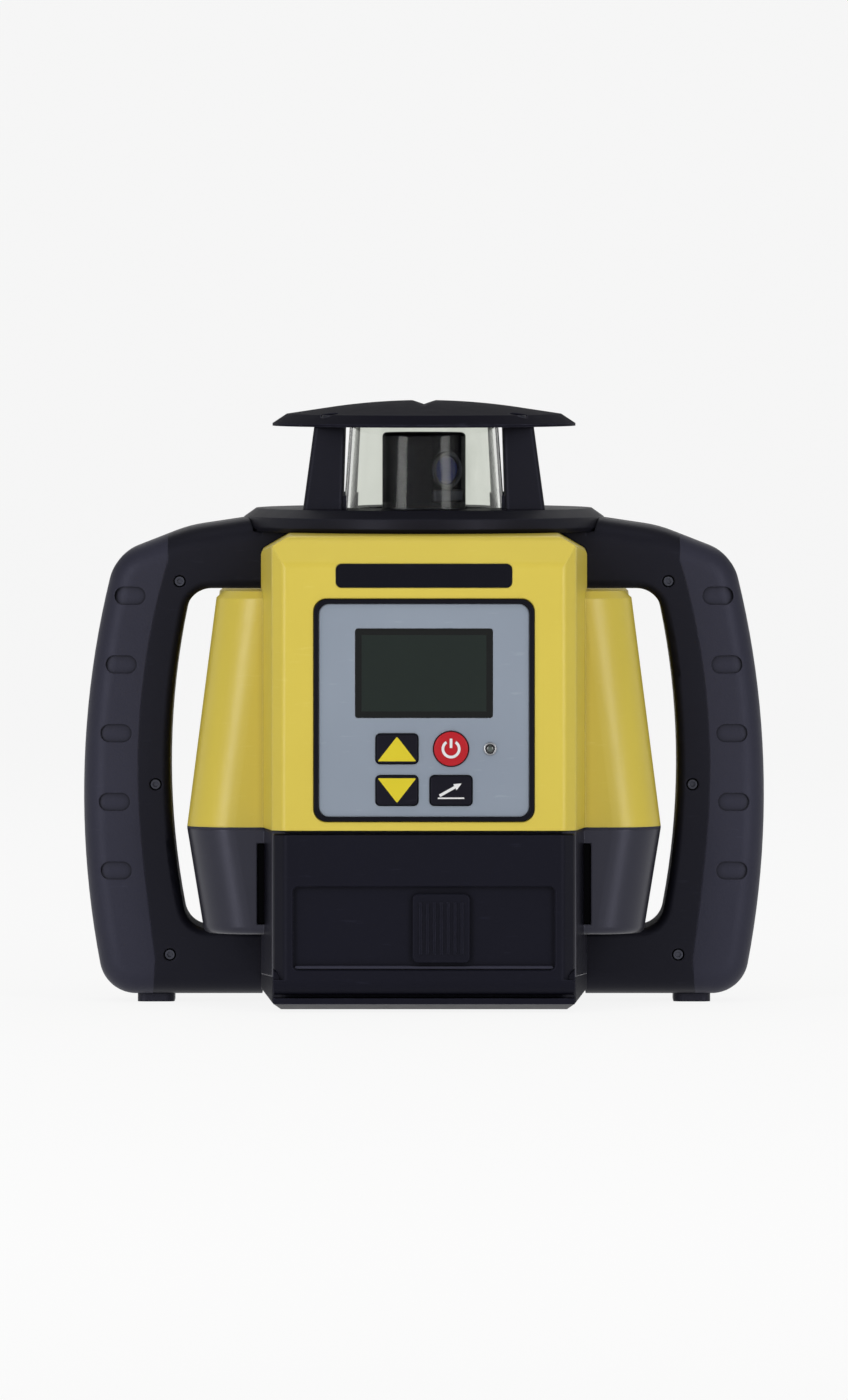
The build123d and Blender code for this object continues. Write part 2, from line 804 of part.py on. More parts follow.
# Roof: low dome with crossed sighting notches and a hollow over the rotor
roof_hollow_radius = 23.0
roof_hollow_top = roof_underside + 3.0
roof_seat = roof_underside + 2.2
with BuildPart() as roof:
    with BuildSketch(Plane.XZ):
        with BuildLine():
            Polyline(
                (0, roof_hollow_top),
                (roof_hollow_radius, roof_hollow_top),
                (roof_hollow_radius, glass_top + upper_seal_height),
                (glass_top_radius + groove_gap, glass_top + upper_seal_height),
                (glass_top_radius + groove_gap, roof_underside),
                (roof_radius, roof_underside),
                (roof_radius, roof_underside + roof_rim),
                (roof_radius - roof_bevel_run, roof_underside + roof_bevel_rise),
                (roof_shoulder_radius, roof_shoulder),
            )
            ThreePointArc(
                (roof_shoulder_radius, roof_shoulder),
                (roof_shoulder_radius / 2, roof_crown - (roof_crown - roof_shoulder) / 4),
                (0, roof_crown),
            )
            Line((0, roof_crown), (0, roof_hollow_top))
        make_face()
    revolve(axis=Axis.Z)
    for notch_plane in (Plane.XZ, Plane.YZ):
        with BuildSketch(notch_plane):
            with BuildLine():
                Polyline(
                    (-sight_width / 2, roof_crown),
                    (0, roof_crown - sight_depth),
                    (sight_width / 2, roof_crown),
                    (0, roof_crown + sight_depth),
                    close=True,
                )
            make_face()
        extrude(amount=roof_radius, both=True, mode=Mode.SUBTRACT)
    for x_side in (post_x - post_lean / 2, -post_x + post_lean / 2):
        for y_side in (post_y - post_lean / 2, -post_y + post_lean / 2):
            with Locations((x_side, y_side, roof_crown)):
                CounterBoreHole(screw_radius, screw_head_radius + 0.1, roof_crown - roof_seat)
save(roof.part, "roof")

with BuildPart() as roof_screws:
    for x_side in (post_x - post_lean / 2, -post_x + post_lean / 2):
        for y_side in (post_y - post_lean / 2, -post_y + post_lean / 2):
            with Locations((x_side, y_side, roof_underside)):
                Cylinder(screw_radius - running_gap, roof_seat - roof_underside,
                         align=(Align.CENTER, Align.CENTER, Align.MIN))
            with Locations((x_side, y_side, roof_seat)):
                Cylinder(screw_head_radius, screw_head_height, align=(Align.CENTER, Align.CENTER, Align.MIN))
save(roof_screws.part, "roof_screws")

# Rotor head, turned so that its beam window faces right of the front
window_normal = Vector(0, -1, 0).rotate(Axis.Z, rotor_turn)
window_level = 187.5
rotor_wall = 2.6
rotor_flat = 13.2
window_thickness = 1.5
window_plane = Plane(
    origin=window_normal * rotor_flat + Vector(0, 0, window_level),
    x_dir=Vector(1, 0, 0).rotate(Axis.Z, rotor_turn),
    z_dir=window_normal,
)
with BuildPart() as rotor_head:
    with BuildSketch(Plane.XY.offset(rotor_foot)):
        Circle(rotor_radius)
    extrude(amount=rotor_top - rotor_foot)
    fillet(rotor_head.edges().group_by(Axis.Z)[-1], 1.6)
    with BuildSketch(window_plane):
        Rectangle(4 * rotor_radius, 2 * (rotor_top - window_level) + 1.0)
    extrude(amount=rotor_radius, mode=Mode.SUBTRACT)
    with BuildSketch(Plane.XY.offset(rotor_foot)):
        Circle(rotor_flat - rotor_wall)
    extrude(amount=rotor_top - rotor_wall - rotor_foot, mode=Mode.SUBTRACT)
    with BuildSketch(window_plane):
        Circle(window_radius)
    extrude(amount=-rotor_wall - 1.0, mode=Mode.SUBTRACT)
save(rotor_head.part, "rotor_head")

with BuildPart() as beam_window:
    with BuildSketch(window_plane.offset(-0.6)):
        Circle(window_radius)
    extrude(amount=-window_thickness)
save(beam_window.part, "beam_window")

# Pentaprism that turns the rising beam out through the window
prism_size = 12.0
prism_foot = 181.0
prism_side = Plane(origin=(0, 0, prism_foot), x_dir=window_normal,
                   z_dir=Vector(0, 0, 1).cross(window_normal) * -1)
with BuildPart() as pentaprism:
    with BuildSketch(prism_side):
        with BuildLine():
            Polyline(
                (-prism_size / 2, 0),
                (prism_size / 2, 0),
                (prism_size / 2, prism_size),
                (-prism_size * 0.2, prism_size * 1.15),
                (-prism_size * 0.65, prism_size * 0.45),
                close=True,
            )
        make_face()
    extrude(amount=prism_size / 2, both=True)
save(pentaprism.part, "pentaprism")

# Spindle: hollow shaft that carries the rotor and its pulley
spindle_foot = 111.0
flange_foot = 172.0
spigot_top = prism_foot
with BuildPart() as spindle:
    with BuildSketch(Plane.XZ):
        with BuildLine():
            Polyline(
                (beam_bore, spindle_foot),
                (spindle_radius, spindle_foot),
                (spindle_radius, flange_foot),
                (rotor_radius, flange_foot),
                (rotor_radius, rotor_foot),
                (rotor_flat - rotor_wall, rotor_foot),
                (rotor_flat - rotor_wall, spigot_top),
                (beam_bore, spigot_top),
                close=True,
            )
        make_face()
    revolve(axis=Axis.Z)
save(spindle.part, "spindle")


def pulley(radius, bore):
    """A flanged belt pulley about the tripod axis."""
    flange = (pulley_width - belt_width) / 2 - seat_gap / 2
    foot = pulley_level - pulley_width / 2
    top = pulley_level + pulley_width / 2
    with BuildPart() as wheel:
        with BuildSketch(Plane.XZ):
            with BuildLine():
                Polyline(
                    (bore, foot),
                    (radius + belt_thickness, foot),
                    (radius + belt_thickness, foot + flange),
                    (radius, foot + flange),
                    (radius, top - flange),
                    (radius + belt_thickness, top - flange),
                    (radius + belt_thickness, top),
                    (bore, top),
                    close=True,
                )
            make_face()
        revolve(axis=Axis.Z)
    return wheel.part


with BuildPart() as spindle_pulley:
    add(pulley(spindle_pulley_radius, spindle_radius))
save(spindle_pulley.part, "spindle_pulley")

# Sleeve that holds the bearings, with gimbal arms and the motor plate
lower_bearing_foot = sleeve_foot + 2.0
upper_bearing_foot = sleeve_top - bearing_width - 2.0
sleeve_bore = spindle_radius + 2.0
arm_reach = 38.0
arm_half_width = 6.0
plate_thickness = 4.0
motor_shaft_radius = 1.5
pin_tip = ring_outer - 0.5
with BuildPart() as spindle_sleeve:
    with BuildSketch(Plane.XY.offset(sleeve_foot)):
        Circle(sleeve_radius)
    extrude(amount=sleeve_top - sleeve_foot)
    with Locations((0, 0, pivot_level)):
        Box(2 * arm_half_width, 2 * arm_reach, 2 * arm_half_width)
    with BuildSketch(Plane.XY.offset(sleeve_foot)):
        with Locations((motor_x / 2, 0)):
            SlotOverall(motor_x + 2 * motor_radius, 2 * motor_radius)
    extrude(amount=plate_thickness)
    with BuildSketch(Plane.XY.offset(sleeve_foot)):
        Circle(sleeve_bore)
    extrude(amount=sleeve_top - sleeve_foot, mode=Mode.SUBTRACT)
    with BuildSketch(Plane.XY.offset(sleeve_foot)):
        Circle(bearing_outer)
    extrude(amount=lower_bearing_foot + bearing_width - sleeve_foot, mode=Mode.SUBTRACT)
    with BuildSketch(Plane.XY.offset(upper_bearing_foot)):
        Circle(bearing_outer)
    extrude(amount=sleeve_top - upper_bearing_foot, mode=Mode.SUBTRACT)
    with BuildSketch(Plane.XY.offset(sleeve_foot)):
        with Locations((motor_x, 0)):
            Circle(motor_shaft_radius + running_gap)
    extrude(amount=plate_thickness, mode=Mode.SUBTRACT)
    for side in (1, -1):
        with BuildSketch(Plane.XZ.offset(side * arm_reach)):
            with Locations((0, pivot_level)):
                Circle(gimbal_pin_radius)
        extrude(amount=-side * 12.0, mode=Mode.SUBTRACT)
save(spindle_sleeve.part, "spindle_sleeve")

with BuildPart() as spindle_bearings:
    for foot in (lower_bearing_foot, upper_bearing_foot):
        add(ring_between(spindle_radius + running_gap, bearing_outer, foot, foot + bearing_width))
save(spindle_bearings.part, "spindle_bearings")

# Gimbal: a ring that rocks on two yokes and carries the sleeve on two pins
with BuildPart() as gimbal_ring:
    add(ring_between(ring_inner, ring_outer, pivot_level - ring_height / 2, pivot_level + ring_height / 2))
    with BuildSketch(Plane.XZ.offset(-ring_outer)):
        with Locations((0, pivot_level)):
            Circle(gimbal_pin_radius + gimbal_pin_gap)
    extrude(amount=2 * ring_outer, mode=Mode.SUBTRACT)
    with BuildSketch(Plane.YZ.offset(-ring_outer)):
        with Locations((0, pivot_level)):
            Circle(gimbal_pin_radius)
    extrude(amount=2 * ring_outer, mode=Mode.SUBTRACT)
save(gimbal_ring.part, "gimbal_ring")

with BuildPart() as sleeve_pins:
    for side in (1, -1):
        with BuildSketch(Plane.XZ.offset(side * (arm_reach - 12.0))):
            with Locations((0, pivot_level)):
                Circle(gimbal_pin_radius)
        extrude(amount=side * (pin_tip - arm_reach + 12.0))
save(sleeve_pins.part, "sleeve_pins")

with BuildPart() as yoke_pins:
    for side in (1, -1):
        with BuildSketch(Plane.YZ.offset(side * (ring_inner + 0.5))):
            with Locations((0, pivot_level)):
                Circle(gimbal_pin_radius)
        extrude(amount=side * (yoke_x + yoke_thickness / 2 - ring_inner - 0.5))
save(yoke_pins.part, "yoke_pins")

deck_top = deck_level + deck_thickness
yoke_crest = pivot_level + 6.0
yoke_foot_length = 30.0
with BuildPart() as gimbal_yokes:
    for side in (1, -1):
        with BuildSketch(Plane.YZ.offset(side * yoke_x - yoke_thickness / 2)):
            with BuildLine():
                Polyline(
                    (-yoke_foot_length / 2, deck_top),
                    (yoke_foot_length / 2, deck_top),
                    (yoke_width / 2, deck_top + 20),
                    (yoke_width / 2, yoke_crest),
                    (-yoke_width / 2, yoke_crest),
                    (-yoke_width / 2, deck_top + 20),
                    close=True,
                )
            make_face()
        extrude(amount=yoke_thickness)
    with BuildSketch(Plane.YZ.offset(-overall_width / 2)):
        with Locations((0, pivot_level)):
            Circle(gimbal_pin_radius + gimbal_pin_gap)
    extrude(amount=overall_width, mode=Mode.SUBTRACT)
save(gimbal_yokes.part, "gimbal_yokes")

# Deck on four columns above the battery
deck_half_width = 56.0
deck_front = -56.0
deck_rear = 62.0
column_radius = 3.0
column_places = [(50.0, -48.0), (-50.0, -48.0), (45.0, 58.0), (-45.0, 58.0)]
with BuildPart() as deck_plate:
    with BuildSketch(Plane.XY.offset(deck_level)):
        with Locations((0, (deck_front + deck_rear) / 2)):
            RectangleRounded(2 * deck_half_width, deck_rear - deck_front, 8.0)
    extrude(amount=deck_thickness)
save(deck_plate.part, "deck_plate")

with BuildPart() as deck_columns:
    with BuildSketch(Plane.XY.offset(base_top)):
        with Locations(*column_places):
            Circle(column_radius)
    extrude(amount=deck_level - base_top)
save(deck_columns.part, "deck_columns")

# Drive motor beside the spindle
motor_foot = sleeve_foot + plate_thickness
with BuildPart() as drive_motor:
    with Locations((motor_x, 0, motor_foot)):
        Cylinder(motor_radius, motor_length, align=(Align.CENTER, Align.CENTER, Align.MIN))
save(drive_motor.part, "drive_motor")

with BuildPart() as motor_shaft:
    with Locations((motor_x, 0, spindle_foot)):
        Cylinder(motor_shaft_radius, motor_foot - spindle_foot,
                 align=(Align.CENTER, Align.CENTER, Align.MIN))
save(motor_shaft.part, "motor_shaft")

with BuildPart() as motor_pulley:
    with Locations((motor_x, 0, 0)):
        add(pulley(motor_pulley_radius, motor_shaft_radius))
save(motor_pulley.part, "motor_pulley")


def belt_loop(clear):
    """Plan of the belt path round both pulleys at a given distance from their rims."""
    with BuildSketch(Plane.XY.offset(pulley_level - belt_width / 2)) as loop:
        Circle(spindle_pulley_radius + clear)
        with Locations((motor_x, 0)):
            Circle(motor_pulley_radius + clear)
        make_hull()
    return loop.sketch


with BuildPart() as drive_belt:
    extrude(belt_loop(belt_gap + belt_thickness), amount=belt_width)
    extrude(belt_loop(belt_gap), amount=belt_width, mode=Mode.SUBTRACT)
save(drive_belt.part, "drive_belt")

# Laser source standing on the deck below the spindle
laser_foot = deck_top + 4.0
lens_thickness = 2.0
with BuildPart() as laser_mount:
    with BuildSketch(Plane.XY.offset(deck_top)):
        RectangleRounded(36.0, 36.0, 4.0)
    extrude(amount=laser_foot - deck_top)
    with BuildSketch(Plane.XY.offset(laser_foot)):
        Circle(laser_radius + 4.0)
        Circle(laser_radius, mode=Mode.SUBTRACT)
    extrude(amount=12.0)
save(laser_mount.part, "laser_mount")

with BuildPart() as laser_tube:
    with BuildSketch(Plane.XY.offset(laser_foot)):
        Circle(laser_radius)
    extrude(amount=laser_length)
    with Locations((0, 0, laser_foot + laser_length)):
        CounterBoreHole(beam_bore / 2, beam_bore, lens_thickness, depth=laser_length - 8.0)
save(laser_tube.part, "laser_tube")

with BuildPart() as collimator_lens:
    with Locations((0, 0, laser_foot + laser_length - lens_thickness)):
        Cylinder(beam_bore, lens_thickness, align=(Align.CENTER, Align.CENTER, Align.MIN))
save(collimator_lens.part, "collimator_lens")

# Handles: two clamped halves each, with a rubber grip over the outer bow
bow_half_width = overall_width / 2
bow_top = (bow_half_width - 11.4, 157.6)
bow_crown = (bow_half_width - 37.0, 167.6)
bow_waist = (bow_half_width - 0.23, 81.0)
bow_foot = (bow_half_width - 8.0, handle_foot)
shoulder_level = 171.5
window_top = (handle_inner_x - 7.2, flank_top)
window_foot = (handle_inner_x - 6.2, flank_foot)
window_waist = (handle_inner_x, 76.0)
bow_top_blend = 16.0
bow_crown_blend = 45.0
bow_foot_blend = 13.0
window_blend = 9.0
window_round = 3.0
grip_line = [
    (bow_half_width - 30.0, 156.0),
    (bow_half_width - 22.0, 120.0),
    (bow_half_width - 19.4, 76.0),
    (bow_half_width - 21.4, 48.0),
    (bow_half_width - 25.4, 15.0),
]
notch_start_x = bow_half_width - 16.5
notch_length = 11.0
handle_screw_places = [
    (bow_half_width - 34.0, 148.5),
    (bow_half_width - 25.5, 77.0),
    (bow_half_width - 30.5, 17.0),
]
handle_screw_reach = 12.0
handle_head_sink = 2.0
handle_head_radius = 1.9
cavity_wall = 8.0
cavity_depth = 14.0
cavity_reach = 36.0
cavity_foot = 32.0
cavity_top = 138.0


def handle_sketch(inset=0.0):
    """Front view of the right handle, drawn inside its true outline by the inset."""
    with BuildSketch(Plane.XZ) as outline:
        with BuildLine():
            Polyline(
                bow_foot,
                (spine_half_width, handle_foot),
                (spine_half_width, flank_foot),
                window_foot,
            )
            ThreePointArc(window_foot, window_waist, window_top)
            Polyline(
                window_top,
                (spine_half_width, flank_top),
                (spine_half_width, shoulder_level),
                bow_crown,
                bow_top,
            )
            ThreePointArc(bow_top, bow_waist, bow_foot)
        make_face()
        for place, blend in (
            (bow_foot, bow_foot_blend),
            (bow_top, bow_top_blend),
            (bow_crown, bow_crown_blend),
            (window_foot, window_blend),
            (window_top, window_blend),
        ):
            fillet(outline.vertices().sort_by_distance(Vector(*place))[0], blend)
        if inset > 0:
            offset(amount=-inset, kind=Kind.INTERSECTION)
    return outline.sketch


def handle_solid(inset=0.0):
    """The whole right handle with rounded rims, inset all round."""
    half = handle_half_depth - inset
    with BuildPart() as body:
        extrude(handle_sketch(inset), amount=half, both=True)
        rims = body.edges().filter_by(lambda edge: abs(abs(edge.center().Y) - half) < 0.01)
        fillet(rims.filter_by(lambda edge: edge.center().X > bow_half_width - 3), grip_edge - inset)
        if inset == 0:
            rims = body.edges().filter_by(lambda edge: abs(abs(edge.center().Y) - half) < 0.01)
            inner, outer = window_foot[0] + 1, handle_inner_x + window_round
            fillet(rims.filter_by(lambda edge: inner < edge.center().X < outer), window_round)
    return body.part


# The zone of the bow that the rubber covers, and the finger notches in it
with BuildPart() as grip_zone:
    with BuildSketch(Plane.XZ):
        with BuildLine():
            Spline(*grip_line)
            Polyline(
                grip_line[-1],
                (grip_line[-1][0] + 1.4, -handle_foot),
                (overall_width, -handle_foot),
                (overall_width, overall_height),
                (grip_line[0][0] + 1.4, overall_height),
                grip_line[0],
            )
        make_face()
    extrude(amount=overall_depth, both=True)

with BuildPart() as grip_notches:
    with BuildSketch(Plane.XZ):
        for row, inset in enumerate(notch_insets):
            notch_x = notch_start_x + notch_length / 2 - inset
            with Locations((notch_x, notch_top_level - row * notch_pitch)):
                SlotOverall(notch_length, notch_height)
    extrude(amount=overall_depth, both=True)
    add(handle_solid(notch_depth), mode=Mode.SUBTRACT)

with BuildPart() as right_grip:
    add(handle_solid())
    add(grip_zone.part, mode=Mode.INTERSECT)
    extrude(handle_sketch(grip_wall), amount=handle_half_depth - grip_wall, both=True, mode=Mode.SUBTRACT)
    add(grip_notches.part, mode=Mode.SUBTRACT)
save(right_grip.part, "right_grip")

with BuildPart() as left_grip:
    mirror(right_grip.part, about=Plane.YZ)
save(left_grip.part, "left_grip")

# Handle frames under the rubber, hollow in the bow and split along the middle
with BuildPart() as under_grip:
    extrude(handle_sketch(grip_wall), amount=handle_half_depth - grip_wall, both=True)
    add(grip_zone.part, mode=Mode.INTERSECT)

with BuildPart() as bow_cavity:
    extrude(handle_sketch(cavity_wall), amount=cavity_depth, both=True)
    with Locations((bow_half_width - cavity_reach / 2, 0, (cavity_foot + cavity_top) / 2)):
        Box(cavity_reach, 2 * cavity_depth, cavity_top - cavity_foot, mode=Mode.INTERSECT)

with BuildPart() as handle_frame:
    add(handle_solid())
    add(grip_zone.part, mode=Mode.SUBTRACT)
    add(under_grip.part)
    add(bow_cavity.part, mode=Mode.SUBTRACT)
    with BuildSketch(Plane.XZ):
        with BuildLine():
            Polyline(
                (spine_half_width, bay_top - bay_brow_depth),
                (spine_half_width, bay_top),
                (spine_half_width - bay_brow, bay_top),
                close=True,
            )
        make_face()
    extrude(amount=handle_half_depth, both=True)
    with BuildSketch(Plane.XY.offset(bay_top)):
        Circle(cover_radius + cover_gap)
    extrude(amount=shoulder_level - bay_top, mode=Mode.SUBTRACT)
    with BuildSketch(Plane.XZ.offset(handle_half_depth - handle_head_sink)):
        with Locations(*handle_screw_places):
            Circle(handle_head_radius + seat_gap)
    extrude(amount=handle_head_sink, mode=Mode.SUBTRACT)
    with BuildSketch(Plane.XZ.offset(handle_half_depth)):
        with Locations(*handle_screw_places):
            Circle(screw_radius)
    extrude(amount=-handle_half_depth - handle_screw_reach, mode=Mode.SUBTRACT)

with BuildPart() as right_handle_front:
    add(handle_frame.part)
    split(bisect_by=Plane.XZ, keep=Keep.TOP)
save(right_handle_front.part, "right_handle_front")

with BuildPart() as right_handle_back:
    add(handle_frame.part)
    split(bisect_by=Plane.XZ, keep=Keep.BOTTOM)
save(right_handle_back.part, "right_handle_back")

with BuildPart() as left_handle_front:
    mirror(right_handle_front.part, about=Plane.YZ)
save(left_handle_front.part, "left_handle_front")

with BuildPart() as left_handle_back:
    mirror(right_handle_back.part, about=Plane.YZ)
save(left_handle_back.part, "left_handle_back")

with BuildPart() as handle_screws:
    with BuildSketch(Plane.XZ.offset(handle_half_depth - handle_head_sink)):
        with Locations(*handle_screw_places):
            Circle(handle_head_radius)
    extrude(amount=screw_head_height)
    with BuildSketch(Plane.XZ.offset(handle_half_depth - handle_head_sink)):
        with Locations(*handle_screw_places):
            Circle(screw_radius)
    extrude(amount=handle_head_sink - handle_half_depth - handle_screw_reach)
    mirror(about=Plane.YZ)
save(handle_screws.part, "handle_screws")

# Rubber feet under the handles
foot_x = bow_half_width - 25.5
foot_width = 13.0
foot_length = 26.0
with BuildPart() as rubber_feet:
    with BuildSketch(Plane.XY):
        with Locations((foot_x, 0), (-foot_x, 0)):
            RectangleRounded(foot_width, foot_length, 3.0)
    extrude(amount=handle_foot)
save(rubber_feet.part, "rubber_feet")
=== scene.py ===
import json
import math
import bpy
import bmesh
from mathutils import Matrix, Vector


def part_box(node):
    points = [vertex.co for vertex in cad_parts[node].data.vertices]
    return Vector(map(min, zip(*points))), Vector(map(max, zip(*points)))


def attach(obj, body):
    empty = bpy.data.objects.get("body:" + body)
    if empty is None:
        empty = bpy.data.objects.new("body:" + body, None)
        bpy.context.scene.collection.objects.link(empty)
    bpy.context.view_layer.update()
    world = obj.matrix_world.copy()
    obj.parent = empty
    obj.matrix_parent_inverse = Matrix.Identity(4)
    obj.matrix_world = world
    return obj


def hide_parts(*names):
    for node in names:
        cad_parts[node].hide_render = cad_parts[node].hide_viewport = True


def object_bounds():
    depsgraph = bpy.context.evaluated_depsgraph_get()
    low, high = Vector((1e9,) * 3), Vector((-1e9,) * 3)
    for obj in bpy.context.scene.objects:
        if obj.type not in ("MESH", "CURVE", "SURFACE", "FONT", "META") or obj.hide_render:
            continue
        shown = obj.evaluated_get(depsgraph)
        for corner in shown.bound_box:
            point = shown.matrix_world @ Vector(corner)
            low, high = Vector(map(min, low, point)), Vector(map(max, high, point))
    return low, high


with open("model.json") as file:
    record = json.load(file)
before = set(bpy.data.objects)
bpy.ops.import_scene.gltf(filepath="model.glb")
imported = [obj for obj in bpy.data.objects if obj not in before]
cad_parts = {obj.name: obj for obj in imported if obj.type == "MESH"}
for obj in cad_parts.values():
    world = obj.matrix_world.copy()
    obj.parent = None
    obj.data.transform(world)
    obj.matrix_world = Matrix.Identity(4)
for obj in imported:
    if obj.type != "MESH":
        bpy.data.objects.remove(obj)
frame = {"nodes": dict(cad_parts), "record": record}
nodes = frame["nodes"]
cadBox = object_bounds()
slotOf = {piece["node"]: piece["material_slot"] for piece in frame["record"]["subparts"]}
print("frame loaded:", len(nodes), "nodes")

mm = 0.001  # sizes below are in metres, written as so many mm


def plug(tree, socket, value):
    if isinstance(value, Wire):
        tree.links.new(value.socket, socket)
    else:
        socket.default_value = value


class Wire:
    # one output of a node, which can be used in sums
    def __init__(self, tree, socket):
        self.tree, self.socket = tree, socket

    def maths(self, operation, first, second):
        node = self.tree.nodes.new("ShaderNodeMath")
        node.operation = operation
        plug(self.tree, node.inputs[0], first)
        plug(self.tree, node.inputs[1], second)
        return Wire(self.tree, node.outputs[0])

    def __add__(self, other):
        return self.maths("ADD", self, other)

    def __radd__(self, other):
        return self.maths("ADD", other, self)

    def __sub__(self, other):
        return self.maths("SUBTRACT", self, other)

    def __rsub__(self, other):
        return self.maths("SUBTRACT", other, self)

    def __mul__(self, other):
        return self.maths("MULTIPLY", self, other)

    def __rmul__(self, other):
        return self.maths("MULTIPLY", other, self)

    def __truediv__(self, other):
        return self.maths("DIVIDE", self, other)

    def __rtruediv__(self, other):
        return self.maths("DIVIDE", other, self)

    def __mod__(self, other):
        return self.maths("FLOORED_MODULO", self, other)

    def __rmod__(self, other):
        return self.maths("FLOORED_MODULO", other, self)

    def __lt__(self, other):
        return self.maths("LESS_THAN", self, other)

    def __gt__(self, other):
        return self.maths("GREATER_THAN", self, other)

    def __abs__(self):
        return self.maths("ABSOLUTE", self, 0.0)


class Finish:
    # one material, built round its principled shader
    def __init__(self, name, constants):
        self.material = bpy.data.materials.new(name)
        self.material.use_nodes = True
        self.tree = self.material.node_tree
        self.shader = self.tree.nodes["Principled BSDF"]
        for socket, value in constants.items():
            self.shader.inputs[socket].default_value = value

    def node(self, kind, settings=(), sockets=(), out=0):
        made = self.tree.nodes.new(kind)
        for key, value in dict(settings).items():
            setattr(made, key, value)
        for key, value in dict(sockets).items():
            plug(self.tree, made.inputs[key], value)
        return Wire(self.tree, made.outputs[out])

    def feed(self, socket, value):
        plug(self.tree, self.shader.inputs[socket], value)

    def place(self, stretch=(1.0, 1.0, 1.0)):
        spot = self.node("ShaderNodeTexCoord", out="Object")
        if stretch == (1.0, 1.0, 1.0):
            return spot
        return self.node("ShaderNodeMapping", (), {"Vector": spot, "Scale": stretch})

    def axes(self):
        split = self.tree.nodes.new("ShaderNodeSeparateXYZ")
        plug(self.tree, split.inputs[0], self.place())
        return [Wire(self.tree, out) for out in split.outputs]

    def noise(self, size, detail=2.0, stretch=(1.0, 1.0, 1.0)):
        sockets = {"Vector": self.place(stretch), "Scale": 1.0 / size, "Detail": detail}
        return self.node("ShaderNodeTexNoise", (), sockets)

    def held(self, value):
        return self.node("ShaderNodeClamp", (), {"Value": value})

    def tint(self, factor, first, second):
        return self.node("ShaderNodeMix", {"data_type": "RGBA"}, {0: factor, 6: first, 7: second}, 2)

    def bump(self, height, depth, normal=None):
        sockets = {"Strength": 1.0, "Distance": depth, "Height": height}
        if normal:
            sockets["Normal"] = normal
        return self.node("ShaderNodeBump", (), sockets)

    def crevice(self, reach):
        # one in the open, less where faces crowd in
        return self.node("ShaderNodeAmbientOcclusion", {"samples": 4}, {"Distance": reach}, "AO")

    def edges(self, radius):
        # the softened normal, and how far it leaves the true one
        soft = self.node("ShaderNodeBevel", {"samples": 4}, {"Radius": radius})
        true = self.node("ShaderNodeNewGeometry", out="Normal")
        same = self.node("ShaderNodeVectorMath", {"operation": "DOT_PRODUCT"}, {0: soft, 1: true}, "Value")
        return soft, 1 - same


def rgb(red, green, blue):
    # a colour as a paint chart gives it, turned to scene light
    flat = [channel / 255 for channel in (red, green, blue)]
    light = [c / 12.92 if c <= 0.04045 else ((c + 0.055) / 1.055) ** 2.4 for c in flat]
    return (*light, 1.0)


whiteGlint = (1.0, 1.0, 1.0, 1.0)
coolGlint = (0.78, 0.78, 1.0, 1.0)  # dark mouldings throw light back a little blue

